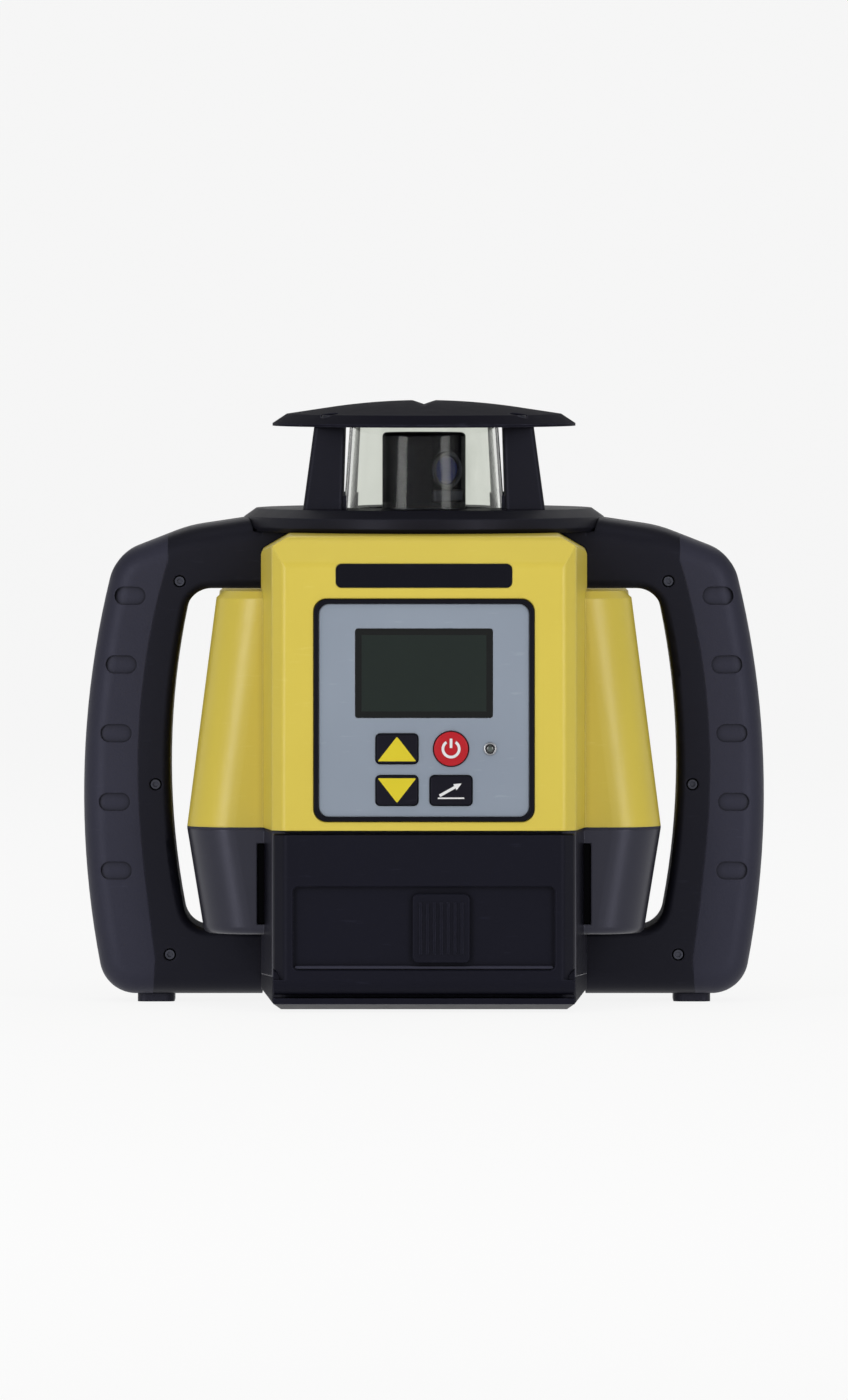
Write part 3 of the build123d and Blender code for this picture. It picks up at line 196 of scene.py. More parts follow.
# moulded plastics and rubbers
mouldedLooks = {
    # in each look the dark recess colour and its strength give painted shade in crevices and grooves
    # in each look the lighter edge colour and its strength lighten rims, partly as real wear and partly as a
    # painted highlight
    "yellowShell": {
        "colour": rgb(220, 199, 70), "shade": rgb(213, 190, 60), "rubbedAndHighlit": rgb(240, 226, 128),
        "gloss": 0.7, "roughness": 0.38, "grain": 0.55 * mm, "depth": 0.012 * mm,
        "softEdge": 0.7 * mm, "wearAndHighlight": 1.9,
        "shadedRecess": rgb(120, 96, 20), "creviceShade": 0.55,
        "ribs": {  # grooves across the rear wall
            "middle": (0.0, 108 * mm), "half": (37 * mm, 27 * mm), "corner": 3 * mm, "behind": 95.4 * mm,
            "pitch": 9 * mm, "grooveHalf": 1.3 * mm, "ease": 0.5 * mm, "depth": 0.9 * mm,
        },
    },
    "blackShell": {
        "colour": rgb(20, 20, 28), "shade": rgb(16, 16, 22), "rubbedAndHighlit": rgb(58, 59, 72),
        "gloss": 0.2, "roughness": 0.44, "grain": 0.5 * mm, "depth": 0.02 * mm,
        "softEdge": 0.7 * mm, "wearAndHighlight": 1.6,
        "shadedRecess": rgb(6, 6, 8), "creviceShade": 0.9, "glint": coolGlint,
    },
    "doorBlack": {
        "colour": rgb(15, 15, 25), "shade": rgb(12, 12, 20), "rubbedAndHighlit": rgb(62, 63, 80),
        "gloss": 0.14, "roughness": 0.46, "grain": 0.5 * mm, "depth": 0.02 * mm,
        "softEdge": 0.6 * mm, "wearAndHighlight": 2.2,
        "shadedRecess": rgb(3, 3, 5), "creviceShade": 1.2, "glint": coolGlint,
    },
    "flankBlack": {
        "colour": rgb(19, 19, 28), "shade": rgb(15, 15, 22), "rubbedAndHighlit": rgb(64, 65, 80),
        "gloss": 0.6, "roughness": 0.32, "grain": 0.5 * mm, "depth": 0.016 * mm,
        "softEdge": 0.7 * mm, "wearAndHighlight": 1.6,
        "shadedRecess": rgb(3, 3, 5), "creviceShade": 1.6, "glint": coolGlint,
        "plate": {  # bare plate on the rear wall
            "middle": (0.0, 38 * mm), "half": (36 * mm, 14 * mm), "corner": 2.5 * mm, "behind": 95.4 * mm,
            "ease": 0.3 * mm, "depth": 0.3 * mm, "borderInset": 1.8 * mm, "borderHalf": 0.3 * mm,
            "colour": rgb(168, 170, 173), "stain": rgb(150, 152, 156), "line": rgb(34, 34, 38),
        },
    },
    "gripRubber": {
        "colour": rgb(43, 43, 56), "shade": rgb(36, 36, 47), "rubbedAndHighlit": rgb(74, 75, 92),
        "gloss": 0.34, "roughness": 0.52, "grain": 0.9 * mm, "depth": 0.06 * mm,
        "softEdge": 0.6 * mm, "wearAndHighlight": 1.8,
        "shadedRecess": rgb(6, 6, 9), "creviceShade": 2.2, "glint": coolGlint,
    },
    "roofBlack": {
        "colour": rgb(24, 23, 33), "shade": rgb(19, 19, 27), "rubbedAndHighlit": rgb(84, 85, 100),
        "gloss": 0.03, "roughness": 0.6, "grain": 0.5 * mm, "depth": 0.03 * mm,
        "softEdge": 0.8 * mm, "wearAndHighlight": 3.0,
        "shadedRecess": rgb(6, 6, 8), "creviceShade": 0.8, "glint": coolGlint,
    },
    # near-black strips in the drip channels, painted shade
    "channelShadeBlack": {
        "colour": rgb(6, 6, 9), "shade": rgb(4, 4, 6), "rubbedAndHighlit": rgb(24, 24, 30),
        "gloss": 0.03, "roughness": 0.7, "grain": 0.6 * mm, "depth": 0.02 * mm,
        "softEdge": 0.3 * mm, "wearAndHighlight": 0.8,
        "shadedRecess": rgb(2, 2, 3), "creviceShade": 1.0,
    },
    "rotorBlack": {
        "colour": rgb(8, 8, 16), "shade": rgb(6, 6, 12), "rubbedAndHighlit": rgb(44, 45, 58),
        "gloss": 0.05, "roughness": 0.40, "grain": 0.3 * mm, "depth": 0.006 * mm,
        "softEdge": 0.3 * mm, "wearAndHighlight": 1.2,
        "shadedRecess": rgb(3, 3, 5), "creviceShade": 0.6, "glint": coolGlint,
    },
    "bezelBlack": {
        "colour": rgb(13, 13, 19), "shade": rgb(10, 10, 15), "rubbedAndHighlit": rgb(44, 44, 54),
        "gloss": 0.12, "roughness": 0.34, "grain": 0.4 * mm, "depth": 0.006 * mm,
        "softEdge": 0.4 * mm, "wearAndHighlight": 0.8,
        "shadedRecess": rgb(8, 8, 10), "creviceShade": 0.6, "glint": coolGlint,
    },
    "greyFascia": {
        "colour": rgb(147, 157, 171), "shade": rgb(132, 142, 157), "rubbedAndHighlit": rgb(206, 212, 222),
        "gloss": 0.35, "roughness": 0.46, "grain": 0.3 * mm, "depth": 0.008 * mm,
        "softEdge": 0.7 * mm, "wearAndHighlight": 1.6,
        "shadedRecess": rgb(84, 90, 98), "creviceShade": 0.5,
    },
    "darkKey": {
        "colour": rgb(19, 18, 26), "shade": rgb(15, 14, 21), "rubbedAndHighlit": rgb(58, 58, 70),
        "gloss": 0.14, "roughness": 0.42, "grain": 0.35 * mm, "depth": 0.01 * mm,
        "softEdge": 0.25 * mm, "wearAndHighlight": 1.0,
        "shadedRecess": rgb(8, 8, 10), "creviceShade": 0.6, "glint": coolGlint,
    },
    "redKey": {
        "colour": rgb(194, 20, 34), "shade": rgb(176, 14, 28), "rubbedAndHighlit": rgb(224, 92, 96),
        "gloss": 0.3, "roughness": 0.36, "grain": 0.35 * mm, "depth": 0.01 * mm,
        "softEdge": 0.25 * mm, "wearAndHighlight": 1.0,
        "shadedRecess": rgb(70, 4, 10), "creviceShade": 1.6,
    },
    "yellowPrint": {
        "colour": rgb(226, 208, 44), "shade": rgb(216, 196, 36), "rubbedAndHighlit": rgb(198, 180, 60),
        "gloss": 0.3, "roughness": 0.45, "grain": 0.25 * mm, "depth": 0.006 * mm,
        "softEdge": 0.05 * mm, "wearAndHighlight": 0.6,
        "shadedRecess": rgb(150, 130, 20), "creviceShade": 0.3,
    },
    "whitePrint": {
        "colour": rgb(236, 236, 236), "shade": rgb(226, 226, 228), "rubbedAndHighlit": rgb(200, 200, 204),
        "gloss": 0.3, "roughness": 0.45, "grain": 0.25 * mm, "depth": 0.006 * mm,
        "softEdge": 0.05 * mm, "wearAndHighlight": 0.6,
        "shadedRecess": rgb(150, 150, 154), "creviceShade": 0.3,
    },
}


def rimDistance(area, x, z):
    # metres outside a rounded rectangle, below nothing inside it
    dx = abs(x - area["middle"][0]) - (area["half"][0] - area["corner"])
    dz = abs(z - area["middle"][1]) - (area["half"][1] - area["corner"])
    dx, dz = dx.maths("MAXIMUM", dx, 0.0), dz.maths("MAXIMUM", dz, 0.0)
    spread = dx * dx + dz * dz
    return spread.maths("SQRT", spread, 0.0) - area["corner"]


mouldedMarks = {"cloud": 55 * mm, "patch": 5 * mm, "scuff": 9 * mm, "crevice": 2.5 * mm}


def mouldedFinish(name, look):
    f = Finish(name, {"Specular IOR Level": look["gloss"], "Specular Tint": look.get("glint", whiteGlint)})
    soft, edge = f.edges(look["softEdge"])
    cloud = f.noise(mouldedMarks["cloud"], 2.0)
    patch = f.noise(mouldedMarks["patch"], 4.0)
    grain = f.noise(look["grain"], 1.0)
    scuffs = f.noise(mouldedMarks["scuff"], 3.0, (1.0, 1.0, 6.0))  # long marks that lie level
    # edges turn to the lighter edge colour: partly real wear, partly a painted highlight along rims; the
    # scuffs are real marks
    wearAndHighlight = f.held(edge * look["wearAndHighlight"] * (patch * 1.6 - 0.2))
    scuffed = f.held((scuffs - 0.66) * 5) * 0.18
    colour = f.tint(cloud, look["colour"], look["shade"])
    colour = f.tint(f.held(wearAndHighlight + scuffed), colour, look["rubbedAndHighlit"])
    # painted shade: darker where faces crowd in, in creases, grooves and recesses
    crowded = 1 - f.crevice(mouldedMarks["crevice"])
    colour = f.tint(f.held(crowded * look["creviceShade"]), colour, look["shadedRecess"])
    height = grain * look["depth"]
    x, y, z = f.axes()
    if "ribs" in look:
        ribs = look["ribs"]
        inside = (rimDistance(ribs, x, z) < 0.0) * (y > ribs["behind"])
        across = abs((z % ribs["pitch"]) - ribs["pitch"] / 2)
        shadedRecess = f.held((ribs["grooveHalf"] - across) / ribs["ease"]) * inside
        # painted shade in the rib grooves, along with the bump dent
        colour = f.tint(shadedRecess * 0.7, colour, look["shadedRecess"])
        height = height - shadedRecess * ribs["depth"]
    if "plate" in look:
        plate = look["plate"]
        rim = rimDistance(plate, x, z)
        inside = f.held(rim / -plate["ease"]) * (y > plate["behind"])
        border = (abs(rim + plate["borderInset"]) < plate["borderHalf"]) * inside
        colour = f.tint(inside, colour, f.tint(patch, plate["colour"], plate["stain"]))
        colour = f.tint(border, colour, plate["line"])
        height = height + inside * plate["depth"]
    f.feed("Base Color", colour)
    f.feed("Roughness", look["roughness"] + (patch - 0.5) * 0.10 + scuffed * 0.2 - wearAndHighlight * 0.08)
    f.feed("Normal", f.bump(height, 1.0, soft))
    return f.material


# metals, brushed or turned in one direction
metalLooks = {
    "steel": {
        "colour": rgb(168, 170, 173), "stain": rgb(132, 134, 138), "roughness": 0.30, "stretch": (1, 1, 24),
    },
    "darkSteel": {
        "colour": rgb(74, 75, 84), "stain": rgb(56, 57, 64), "roughness": 0.38, "stretch": (1, 1, 12),
    },
    "brass": {
        "colour": rgb(196, 160, 88), "stain": rgb(150, 116, 58), "roughness": 0.28, "stretch": (1, 1, 24),
    },
    "alloy": {
        "colour": rgb(176, 178, 182), "stain": rgb(150, 152, 157), "roughness": 0.34, "stretch": (1, 1, 18),
    },
    "blackAlloy": {
        "colour": rgb(24, 24, 29), "stain": rgb(17, 17, 21), "roughness": 0.34, "stretch": (1, 1, 18),
    },
}
metalMarks = {"softEdge": 0.25 * mm, "brushing": 1.6 * mm, "blotch": 11 * mm, "depth": 0.01 * mm}


def metalFinish(name, look):
    f = Finish(name, {"Metallic": 1.0})
    soft, edge = f.edges(metalMarks["softEdge"])
    brushing = f.noise(metalMarks["brushing"], 3.0, look["stretch"])
    blotch = f.noise(metalMarks["blotch"], 3.0)
    bright = f.held(edge * 1.2)
    colour = f.tint(f.held(blotch * 1.6 - 0.4), look["colour"], look["stain"])
    colour = f.tint(bright * 0.5, colour, look["colour"])
    f.feed("Base Color", colour)
    f.feed("Roughness", look["roughness"] + (brushing - 0.5) * 0.2 + (blotch - 0.5) * 0.1)
    f.feed("Normal", f.bump(brushing, metalMarks["depth"], soft))
    return f.material


glassLook = {"colour": rgb(234, 236, 231), "haze": rgb(216, 219, 213), "roughness": 0.02, "smudge": 0.10}


def glassFinish(name, look):
    f = Finish(name, {"Transmission Weight": 1.0, "IOR": 1.2})
    smear = f.held(f.noise(14 * mm, 4.0, (1.0, 1.0, 0.35)) * 3 - 1.5)
    f.feed("Base Color", f.tint(smear, look["colour"], look["haze"]))
    f.feed("Roughness", look["roughness"] + smear * look["smudge"])
    f.feed("Normal", f.bump(f.noise(20 * mm, 1.0), 0.02 * mm))
    return f.material


opticLook = {"colour": rgb(30, 42, 120), "ring": rgb(14, 18, 54), "roughness": 0.05}


def opticFinish(name, look):
    # coated optics, dark blue with a faint bloom
    f = Finish(name, {"Coat Weight": 0.3, "Coat Roughness": 0.03, "Specular IOR Level": 0.2})
    bloom = f.noise(6 * mm, 2.0)
    f.feed("Base Color", f.tint(bloom, look["colour"], look["ring"]))
    f.feed("Roughness", look["roughness"] + bloom * 0.08)
    f.feed("Normal", f.bump(f.noise(9 * mm, 1.0), 0.01 * mm))
    return f.material


displayLook = {
    "border": rgb(10, 13, 13), "field": rgb(22, 31, 28), "cell": rgb(26, 36, 32),
    "borderWidth": 2.2 * mm, "pitch": 0.5 * mm, "roughness": 0.2,
}


def displayFinish(name, look):
    low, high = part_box("display_window")
    middle, half = (low + high) / 2, (high - low) / 2
    f = Finish(name, {"Specular IOR Level": 0.2})
    x, _, z = f.axes()
    inside = abs(x - middle.x) < half.x - look["borderWidth"]
    inside = inside * (abs(z - middle.z) < half.z - look["borderWidth"])
    cells = ((x % look["pitch"]) > 0.1 * look["pitch"]) * ((z % look["pitch"]) > 0.1 * look["pitch"])
    smear = f.noise(16 * mm, 3.0)
    field = f.tint(cells * (0.5 + smear * 0.5), look["field"], look["cell"])
    f.feed("Base Color", f.tint(inside, look["border"], field))
    f.feed("Roughness", look["roughness"] + f.held(smear - 0.45) * 0.3)
    f.feed("Normal", f.bump(f.noise(0.5 * mm, 1.0), 0.002 * mm))
    return f.material


lampLook = {"rim": rgb(16, 17, 19), "core": rgb(66, 78, 72), "coreRadius": 0.9 * mm}


def lampFinish(name, look):
    low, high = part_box("status_lamp")
    f = Finish(name, {"Coat Weight": 0.6, "Coat Roughness": 0.08})
    x, _, z = f.axes()
    dx, dz = x - (low.x + high.x) / 2, z - (low.z + high.z) / 2
    core = (dx * dx + dz * dz) < look["coreRadius"] ** 2
    haze = f.noise(0.8 * mm, 2.0)
    f.feed("Base Color", f.tint(core * (0.6 + haze * 0.4), look["rim"], look["core"]))
    f.feed("Roughness", 0.18 + haze * 0.1)
    f.feed("Normal", f.bump(haze, 0.005 * mm))
    return f.material


boardLook = {
    "mask": rgb(22, 84, 48), "trace": rgb(34, 112, 64), "pad": rgb(186, 172, 120), "pitch": 2.4 * mm,
}


def boardFinish(name, look):
    f = Finish(name, {"Specular IOR Level": 0.4})
    x = f.axes()[0]
    wander = f.noise(14 * mm, 0.0) * (3 * mm)
    trace = ((x + wander) % look["pitch"]) < 0.3 * look["pitch"]
    dots = f.node("ShaderNodeTexVoronoi", (), {"Vector": f.place(), "Scale": 1.0 / (5 * mm)}, "Distance")
    pads = dots < 0.12
    colour = f.tint(trace, look["mask"], look["trace"])
    f.feed("Base Color", f.tint(pads, colour, look["pad"]))
    f.feed("Roughness", 0.42 - pads * 0.12)
    f.feed("Normal", f.bump(trace + pads, 0.03 * mm))
    return f.material


finishes = {name: mouldedFinish(name, look) for name, look in mouldedLooks.items()}
finishes |= {name: metalFinish(name, look) for name, look in metalLooks.items()}
finishes["clearGlass"] = glassFinish("clearGlass", glassLook)
finishes["coatedOptic"] = opticFinish("coatedOptic", opticLook)
finishes["displayFace"] = displayFinish("displayFace", displayLook)
finishes["lampLens"] = lampFinish("lampLens", lampLook)
finishes["circuitBoard"] = boardFinish("circuitBoard", boardLook)
print("finishes made:", len(finishes))

finishOfSlot = {
    "yellow_plastic": "yellowShell", "black_plastic": "blackShell", "grip_rubber": "gripRubber",
    "grey_fascia": "greyFascia", "display_glass": "displayFace", "dark_key": "darkKey", "red_key": "redKey",
    "lamp_lens": "lampLens", "circuit_board": "circuitBoard", "steel": "steel", "brass": "brass",
    "alloy": "alloy", "black_alloy": "blackAlloy", "clear_glass": "clearGlass",
}
finishOfNode = {  # where one node differs from the rest of its slot
    "panel_bezel": "bezelBlack", "brow_strip": "bezelBlack", "beam_window": "coatedOptic",
    "door_hinge_pin": "darkSteel", "roof": "roofBlack", "rotor_head": "rotorBlack",
    "base_plate": "doorBlack", "battery_door": "doorBlack", "door_latch": "doorBlack",
    "lower_housing": "flankBlack", "spindle": "blackAlloy",
}
for name, node in nodes.items():
    finish = finishes[finishOfNode.get(name, finishOfSlot[slotOf[name]])]
    for place in node.material_slots:
        place.material = finish
print("finishes laid on the frame")


def finishMesh(name, bm, finish, body, sharpAngle=35.0):
    bmesh.ops.recalc_face_normals(bm, faces=bm.faces)
    mesh = bpy.data.meshes.new(name)
    bm.to_mesh(mesh)
    bm.free()
    mesh.materials.append(finishes[finish])
    mesh.shade_smooth()
    mesh.set_sharp_from_angle(angle=math.radians(sharpAngle))
    piece = bpy.data.objects.new(name, mesh)
    bpy.context.collection.objects.link(piece)
    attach(piece, body)
    return piece


def ring(bm, outline, depth):
    return [bm.verts.new((x, depth, z)) for x, z in outline]


def skin(bm, first, second):
    for i in range(len(first)):
        j = (i + 1) % len(first)
        bm.faces.new((first[i], first[j], second[j], second[i]))


def roundedOutline(middle, halfWidth, halfHeight, corner, steps):
    points = []
    for turn, (sx, sz) in enumerate(((1, 1), (-1, 1), (-1, -1), (1, -1))):
        centre = (middle[0] + sx * (halfWidth - corner), middle[1] + sz * (halfHeight - corner))
        for step in range(steps + 1):
            angle = math.radians(90 * (turn + step / steps))
            points.append((centre[0] + corner * math.cos(angle), centre[1] + corner * math.sin(angle)))
    return points


def slab(bm, middle, half, corner, back, front, roundOver, cornerSteps=6, roundSteps=5):
    # a rounded block from its flat back to its eased front
    way = 1 if back > front else -1
    last = ring(bm, roundedOutline(middle, half[0], half[1], corner, cornerSteps), back)
    bm.faces.new(last)
    for step in range(roundSteps + 1):
        angle = math.radians(90 * step / roundSteps)
        inset = roundOver * (1 - math.cos(angle))
        depth = front + way * roundOver * (1 - math.sin(angle))
        outline = roundedOutline(middle, half[0] - inset, half[1] - inset, corner - inset, cornerSteps)
        current = ring(bm, outline, depth)
        skin(bm, last, current)
        last = current
    bm.faces.new(last)


# key caps, each with its mark standing a hair proud
keyCap = {
    "flange": 1.2 * mm,     # rim of the cap behind the fascia
    "corner": 1.4 * mm,
    "cornerSteps": 6,
    "circleSteps": 14,      # in each quarter of a round cap
    "roundOver": 0.45 * mm,
    "sink": 0.10 * mm,      # cap front behind the frame's key
    "markProud": 0.07 * mm,
    "markSink": 0.3 * mm,
}


def makeCap(nodeName, finish, body, circular=False):
    low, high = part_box(nodeName)
    middle = ((low.x + high.x) / 2, (low.z + high.z) / 2)
    half = ((high.x - low.x) / 2 - keyCap["flange"], (high.z - low.z) / 2 - keyCap["flange"])
    corner = half[0] * 0.999 if circular else keyCap["corner"]
    steps = keyCap["circleSteps"] if circular else keyCap["cornerSteps"]
    front = low.y + keyCap["sink"]
    bm = bmesh.new()
    slab(bm, middle, half, corner, high.y, front, keyCap["roundOver"], steps)
    cap = finishMesh(nodeName + "_cap", bm, finish, body)
    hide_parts(nodeName)
    return middle, front


def stripFill(bm, loop):
    # rungs from the loop's two ends inward, which suits bent strips too
    low, high = 0, len(loop) - 1
    while high - low > 2:
        bm.faces.new((loop[low], loop[low + 1], loop[high - 1], loop[high]))
        low, high = low + 1, high - 1
    if high - low == 2:
        bm.faces.new(loop[low:high + 1])


def makeMark(name, outlines, middle, front, finish, body):
    bm = bmesh.new()
    for outline in outlines:
        moved = [(middle[0] + x, middle[1] + z) for x, z in outline]
        near = ring(bm, moved, front - keyCap["markProud"])
        far = ring(bm, moved, front + keyCap["markSink"])
        skin(bm, near, far)
        for end in (near, far):
            stripFill(bm, end)
    finishMesh(name, bm, finish, body)


def eased(points, cut):
    # corners of a flat outline cut back by a short curve
    made = []
    for i, corner in enumerate(points):
        before, after = Vector(points[i - 1]), Vector(points[(i + 1) % len(points)])
        corner = Vector(corner)
        start = corner + (before - corner).normalized() * cut
        end = corner + (after - corner).normalized() * cut
        for step in range(5):
            t = step / 4
            made.append(tuple((1 - t) ** 2 * start + 2 * t * (1 - t) * corner + t ** 2 * end))
    return made


arrowMark = {"halfWidth": 6.7 * mm, "halfHeight": 4.3 * mm, "ease": 0.5 * mm}
powerMark = {
    "outer": 3.3 * mm, "inner": 2.35 * mm, "gap": 34.0, "arcSteps": 40,
    "barWidth": 0.95 * mm, "barTop": 3.6 * mm, "barFoot": 0.3 * mm, "ease": 0.2 * mm,
}
slopeMark = {
    "halfWidth": 4.6 * mm, "foot": -2.9 * mm, "line": 0.5 * mm, "lineEase": 0.1 * mm,
    "startInset": 0.6 * mm, "startRise": 1.1 * mm, "endInset": 0.9 * mm, "rise": 5.4 * mm,
    "stroke": 0.95 * mm, "head": 2.7 * mm, "headSpread": 2.6, "ease": 0.2 * mm,
}


def arrowOutline(up):
    w, h = arrowMark["halfWidth"], arrowMark["halfHeight"] * up
    return eased([(-w, -h), (w, -h), (0.0, h)], arrowMark["ease"])


def powerOutlines():
    p = powerMark
    sweep, steps = 360 - 2 * p["gap"], p["arcSteps"]
    angles = [math.radians(90 + p["gap"] + sweep * i / steps) for i in range(steps + 1)]
    arc = [(p["outer"] * math.cos(a), p["outer"] * math.sin(a)) for a in angles]
    arc += [(p["inner"] * math.cos(a), p["inner"] * math.sin(a)) for a in reversed(angles)]
    w, foot, top = p["barWidth"] / 2, p["barFoot"], p["barTop"]
    return [arc, eased([(-w, foot), (w, foot), (w, top), (-w, top)], p["ease"])]


def slopeOutlines():
    s = slopeMark
    w, foot, top = s["halfWidth"], s["foot"], s["foot"] + s["line"]
    level = eased([(-w, foot), (w, foot), (w, top), (-w, top)], s["lineEase"])
    start = Vector((s["startInset"] - w, foot + s["startRise"]))
    end = Vector((w - s["endInset"], foot + s["rise"]))
    along = (end - start).normalized()
    across = Vector((-along.y, along.x)) * s["stroke"] / 2
    neck = end - along * s["head"]
    stroke = [tuple(start - across), tuple(neck - across), tuple(neck + across), tuple(start + across)]
    spread = across * s["headSpread"]
    head = [tuple(neck - spread), tuple(end), tuple(neck + spread)]
    return [level, eased(stroke, s["ease"]), eased(head, s["ease"])]


keyLayout = (  # node, body, cap's finish and slot, mark's outlines, finish and slot
    ("key_up", "up_key", "darkKey", "dark_key", [arrowOutline(1)], "yellowPrint", "yellow_plastic"),
    ("key_down", "down_key", "darkKey", "dark_key", [arrowOutline(-1)], "yellowPrint", "yellow_plastic"),
    ("key_grade", "grade_key", "darkKey", "dark_key", slopeOutlines(), "whitePrint", "grey_fascia"),
    ("key_power", "power_key", "redKey", "red_key", powerOutlines(), "whitePrint", "grey_fascia"),
)
for nodeName, body, capFinish, capSlot, outlines, markFinish, markSlot in keyLayout:
    spot, front = makeCap(nodeName, capFinish, body, circular=nodeName == "key_power")
    makeMark(nodeName + "_mark", outlines, spot, front, markFinish, body)
print("keys made")


# socket-head screws, set out by a geometry tree
screwShape = {
    "sides": 28,
    "socketSides": 6,
    "shankSides": 16,
    "crown": 0.35,          # share of the head's height that tapers
    "crownTop": 0.88,       # top of the taper against the head's radius
}


def screwTree(shape):
    tree = bpy.data.node_groups.new("socketScrews", "GeometryNodeTree")
    lengths = ("Head Radius", "Head Height", "Socket Radius", "Socket Depth", "Shank Radius", "Shank Length")
    wanted = {"Places": "NodeSocketGeometry"} | dict.fromkeys(lengths, "NodeSocketFloat")
    wanted |= {"Turn": "NodeSocketVector", "Finish": "NodeSocketMaterial"}
    newSocket = tree.interface.new_socket
    sockets = {label: newSocket(label, in_out="INPUT", socket_type=kind) for label, kind in wanted.items()}
    newSocket("Screws", in_out="OUTPUT", socket_type="NodeSocketGeometry")
    links = tree.links.new
    given = tree.nodes.new("NodeGroupInput").outputs

    def node(kind, **inputs):
        made = tree.nodes.new(kind)
        for key, value in inputs.items():
            socket = made.inputs[key.replace("_", " ")]
            if isinstance(value, bpy.types.NodeSocket):
                links(value, socket)
            else:
                socket.default_value = value
        return made.outputs[0]

    def times(value, share, added=0.0):
        made = tree.nodes.new("ShaderNodeMath")
        made.operation = "MULTIPLY_ADD"
        links(value, made.inputs[0])
        made.inputs[1].default_value = share
        if added:
            links(added, made.inputs[2])
        else:
            made.inputs[2].default_value = added
        return made.outputs[0]

    def lifted(mesh, height):
        upright = node("ShaderNodeCombineXYZ", Z=height)
        return node("GeometryNodeTransform", Geometry=mesh, Translation=upright)

    def joined(operation, meshes):
        made = tree.nodes.new("GeometryNodeMeshBoolean")
        made.operation = operation
        for label, mesh in meshes:
            links(mesh, made.inputs[label])
        return made.outputs[0]

    headRadius, headHeight = given["Head Radius"], given["Head Height"]
    crown = shape["crown"]
    # the cone node stands on its base, so the taper is sunk by its own height
    taper = node("GeometryNodeMeshCone", Vertices=shape["sides"], Side_Segments=1, Fill_Segments=1,
                 Radius_Top=times(headRadius, shape["crownTop"]), Radius_Bottom=headRadius,
                 Depth=times(headHeight, crown))
    taper = lifted(taper, times(headHeight, -crown))
    drum = node("GeometryNodeMeshCylinder", Vertices=shape["sides"], Radius=headRadius,
                Depth=times(headHeight, 1 - crown))
    drum = lifted(drum, times(headHeight, -(1 + crown) / 2))
    hexagon = node("GeometryNodeMeshCylinder", Vertices=shape["socketSides"], Radius=given["Socket Radius"],
                   Depth=times(given["Socket Depth"], 2.0))
    shank = node("GeometryNodeMeshCylinder", Vertices=shape["shankSides"], Radius=given["Shank Radius"],
                 Depth=given["Shank Length"])
    shank = lifted(shank, times(given["Shank Length"], -0.5, times(headHeight, -1.0)))
    head = joined("UNION", (("Mesh 2", taper), ("Mesh 2", drum)))
    head = joined("DIFFERENCE", (("Mesh 1", head), ("Mesh 2", hexagon)))
    whole = tree.nodes.new("GeometryNodeJoinGeometry")
    links(head, whole.inputs[0])
    links(shank, whole.inputs[0])
    turn = node("FunctionNodeEulerToRotation", Euler=given["Turn"])
    laid = node("GeometryNodeInstanceOnPoints", Points=given["Places"], Instance=whole.outputs[0],
                Rotation=turn)
    real = node("GeometryNodeRealizeInstances", Geometry=laid)
    done = node("GeometryNodeSetMaterial", Geometry=real, Material=given["Finish"])
    links(done, tree.nodes.new("NodeGroupOutput").inputs[0])
    return tree, {label: socket.identifier for label, socket in sockets.items()}


screwGroup, screwInputs = screwTree(screwShape)


def layScrews(name, places, sizes, turn, finish, nodeName):
    mesh = bpy.data.meshes.new(name + "Places")
    mesh.from_pydata(places, [], [])
    holder = bpy.data.objects.new(name + "Places", mesh)
    bpy.context.collection.objects.link(holder)
    layout = holder.modifiers.new("screws", "NODES")
    layout.node_group = screwGroup
    for label, value in sizes.items():
        layout[screwInputs[label]] = value
    layout[screwInputs["Turn"]] = turn
    layout[screwInputs["Finish"]] = finishes[finish]
    made = bpy.data.meshes.new_from_object(holder.evaluated_get(bpy.context.evaluated_depsgraph_get()))
    bpy.data.objects.remove(holder)
    made.name = name
    made.shade_smooth()
    made.set_sharp_from_angle(angle=math.radians(30))
    piece = bpy.data.objects.new(name, made)
    bpy.context.collection.objects.link(piece)
    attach(piece, "housing")
    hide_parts(nodeName)


handleScrews = {
    "places": [(86.0, 148.5), (94.5, 77.0), (89.5, 17.0)],  # across and up, in mm, on each side
    "sizes": {"Head Radius": 1.9 * mm, "Head Height": 1.8 * mm, "Socket Radius": 1.05 * mm,
              "Socket Depth": 1.1 * mm, "Shank Radius": 1.6 * mm, "Shank Length": 31.0 * mm},
}
plateScrews = {
    "sizes": {"Head Radius": 3.0 * mm, "Head Height": 1.8 * mm, "Socket Radius": 1.6 * mm,
              "Socket Depth": 1.1 * mm, "Shank Radius": 1.6 * mm, "Shank Length": 6.0 * mm},
}
roofScrews = {
    "sizes": plateScrews["sizes"] | {"Shank Length": 1.8 * mm},
}


def cornerPlaces(nodeName, headRadius, level):
    low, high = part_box(nodeName)
    xs, ys = (low.x + headRadius, high.x - headRadius), (low.y + headRadius, high.y - headRadius)
    return [(x, y, level) for x in xs for y in ys]


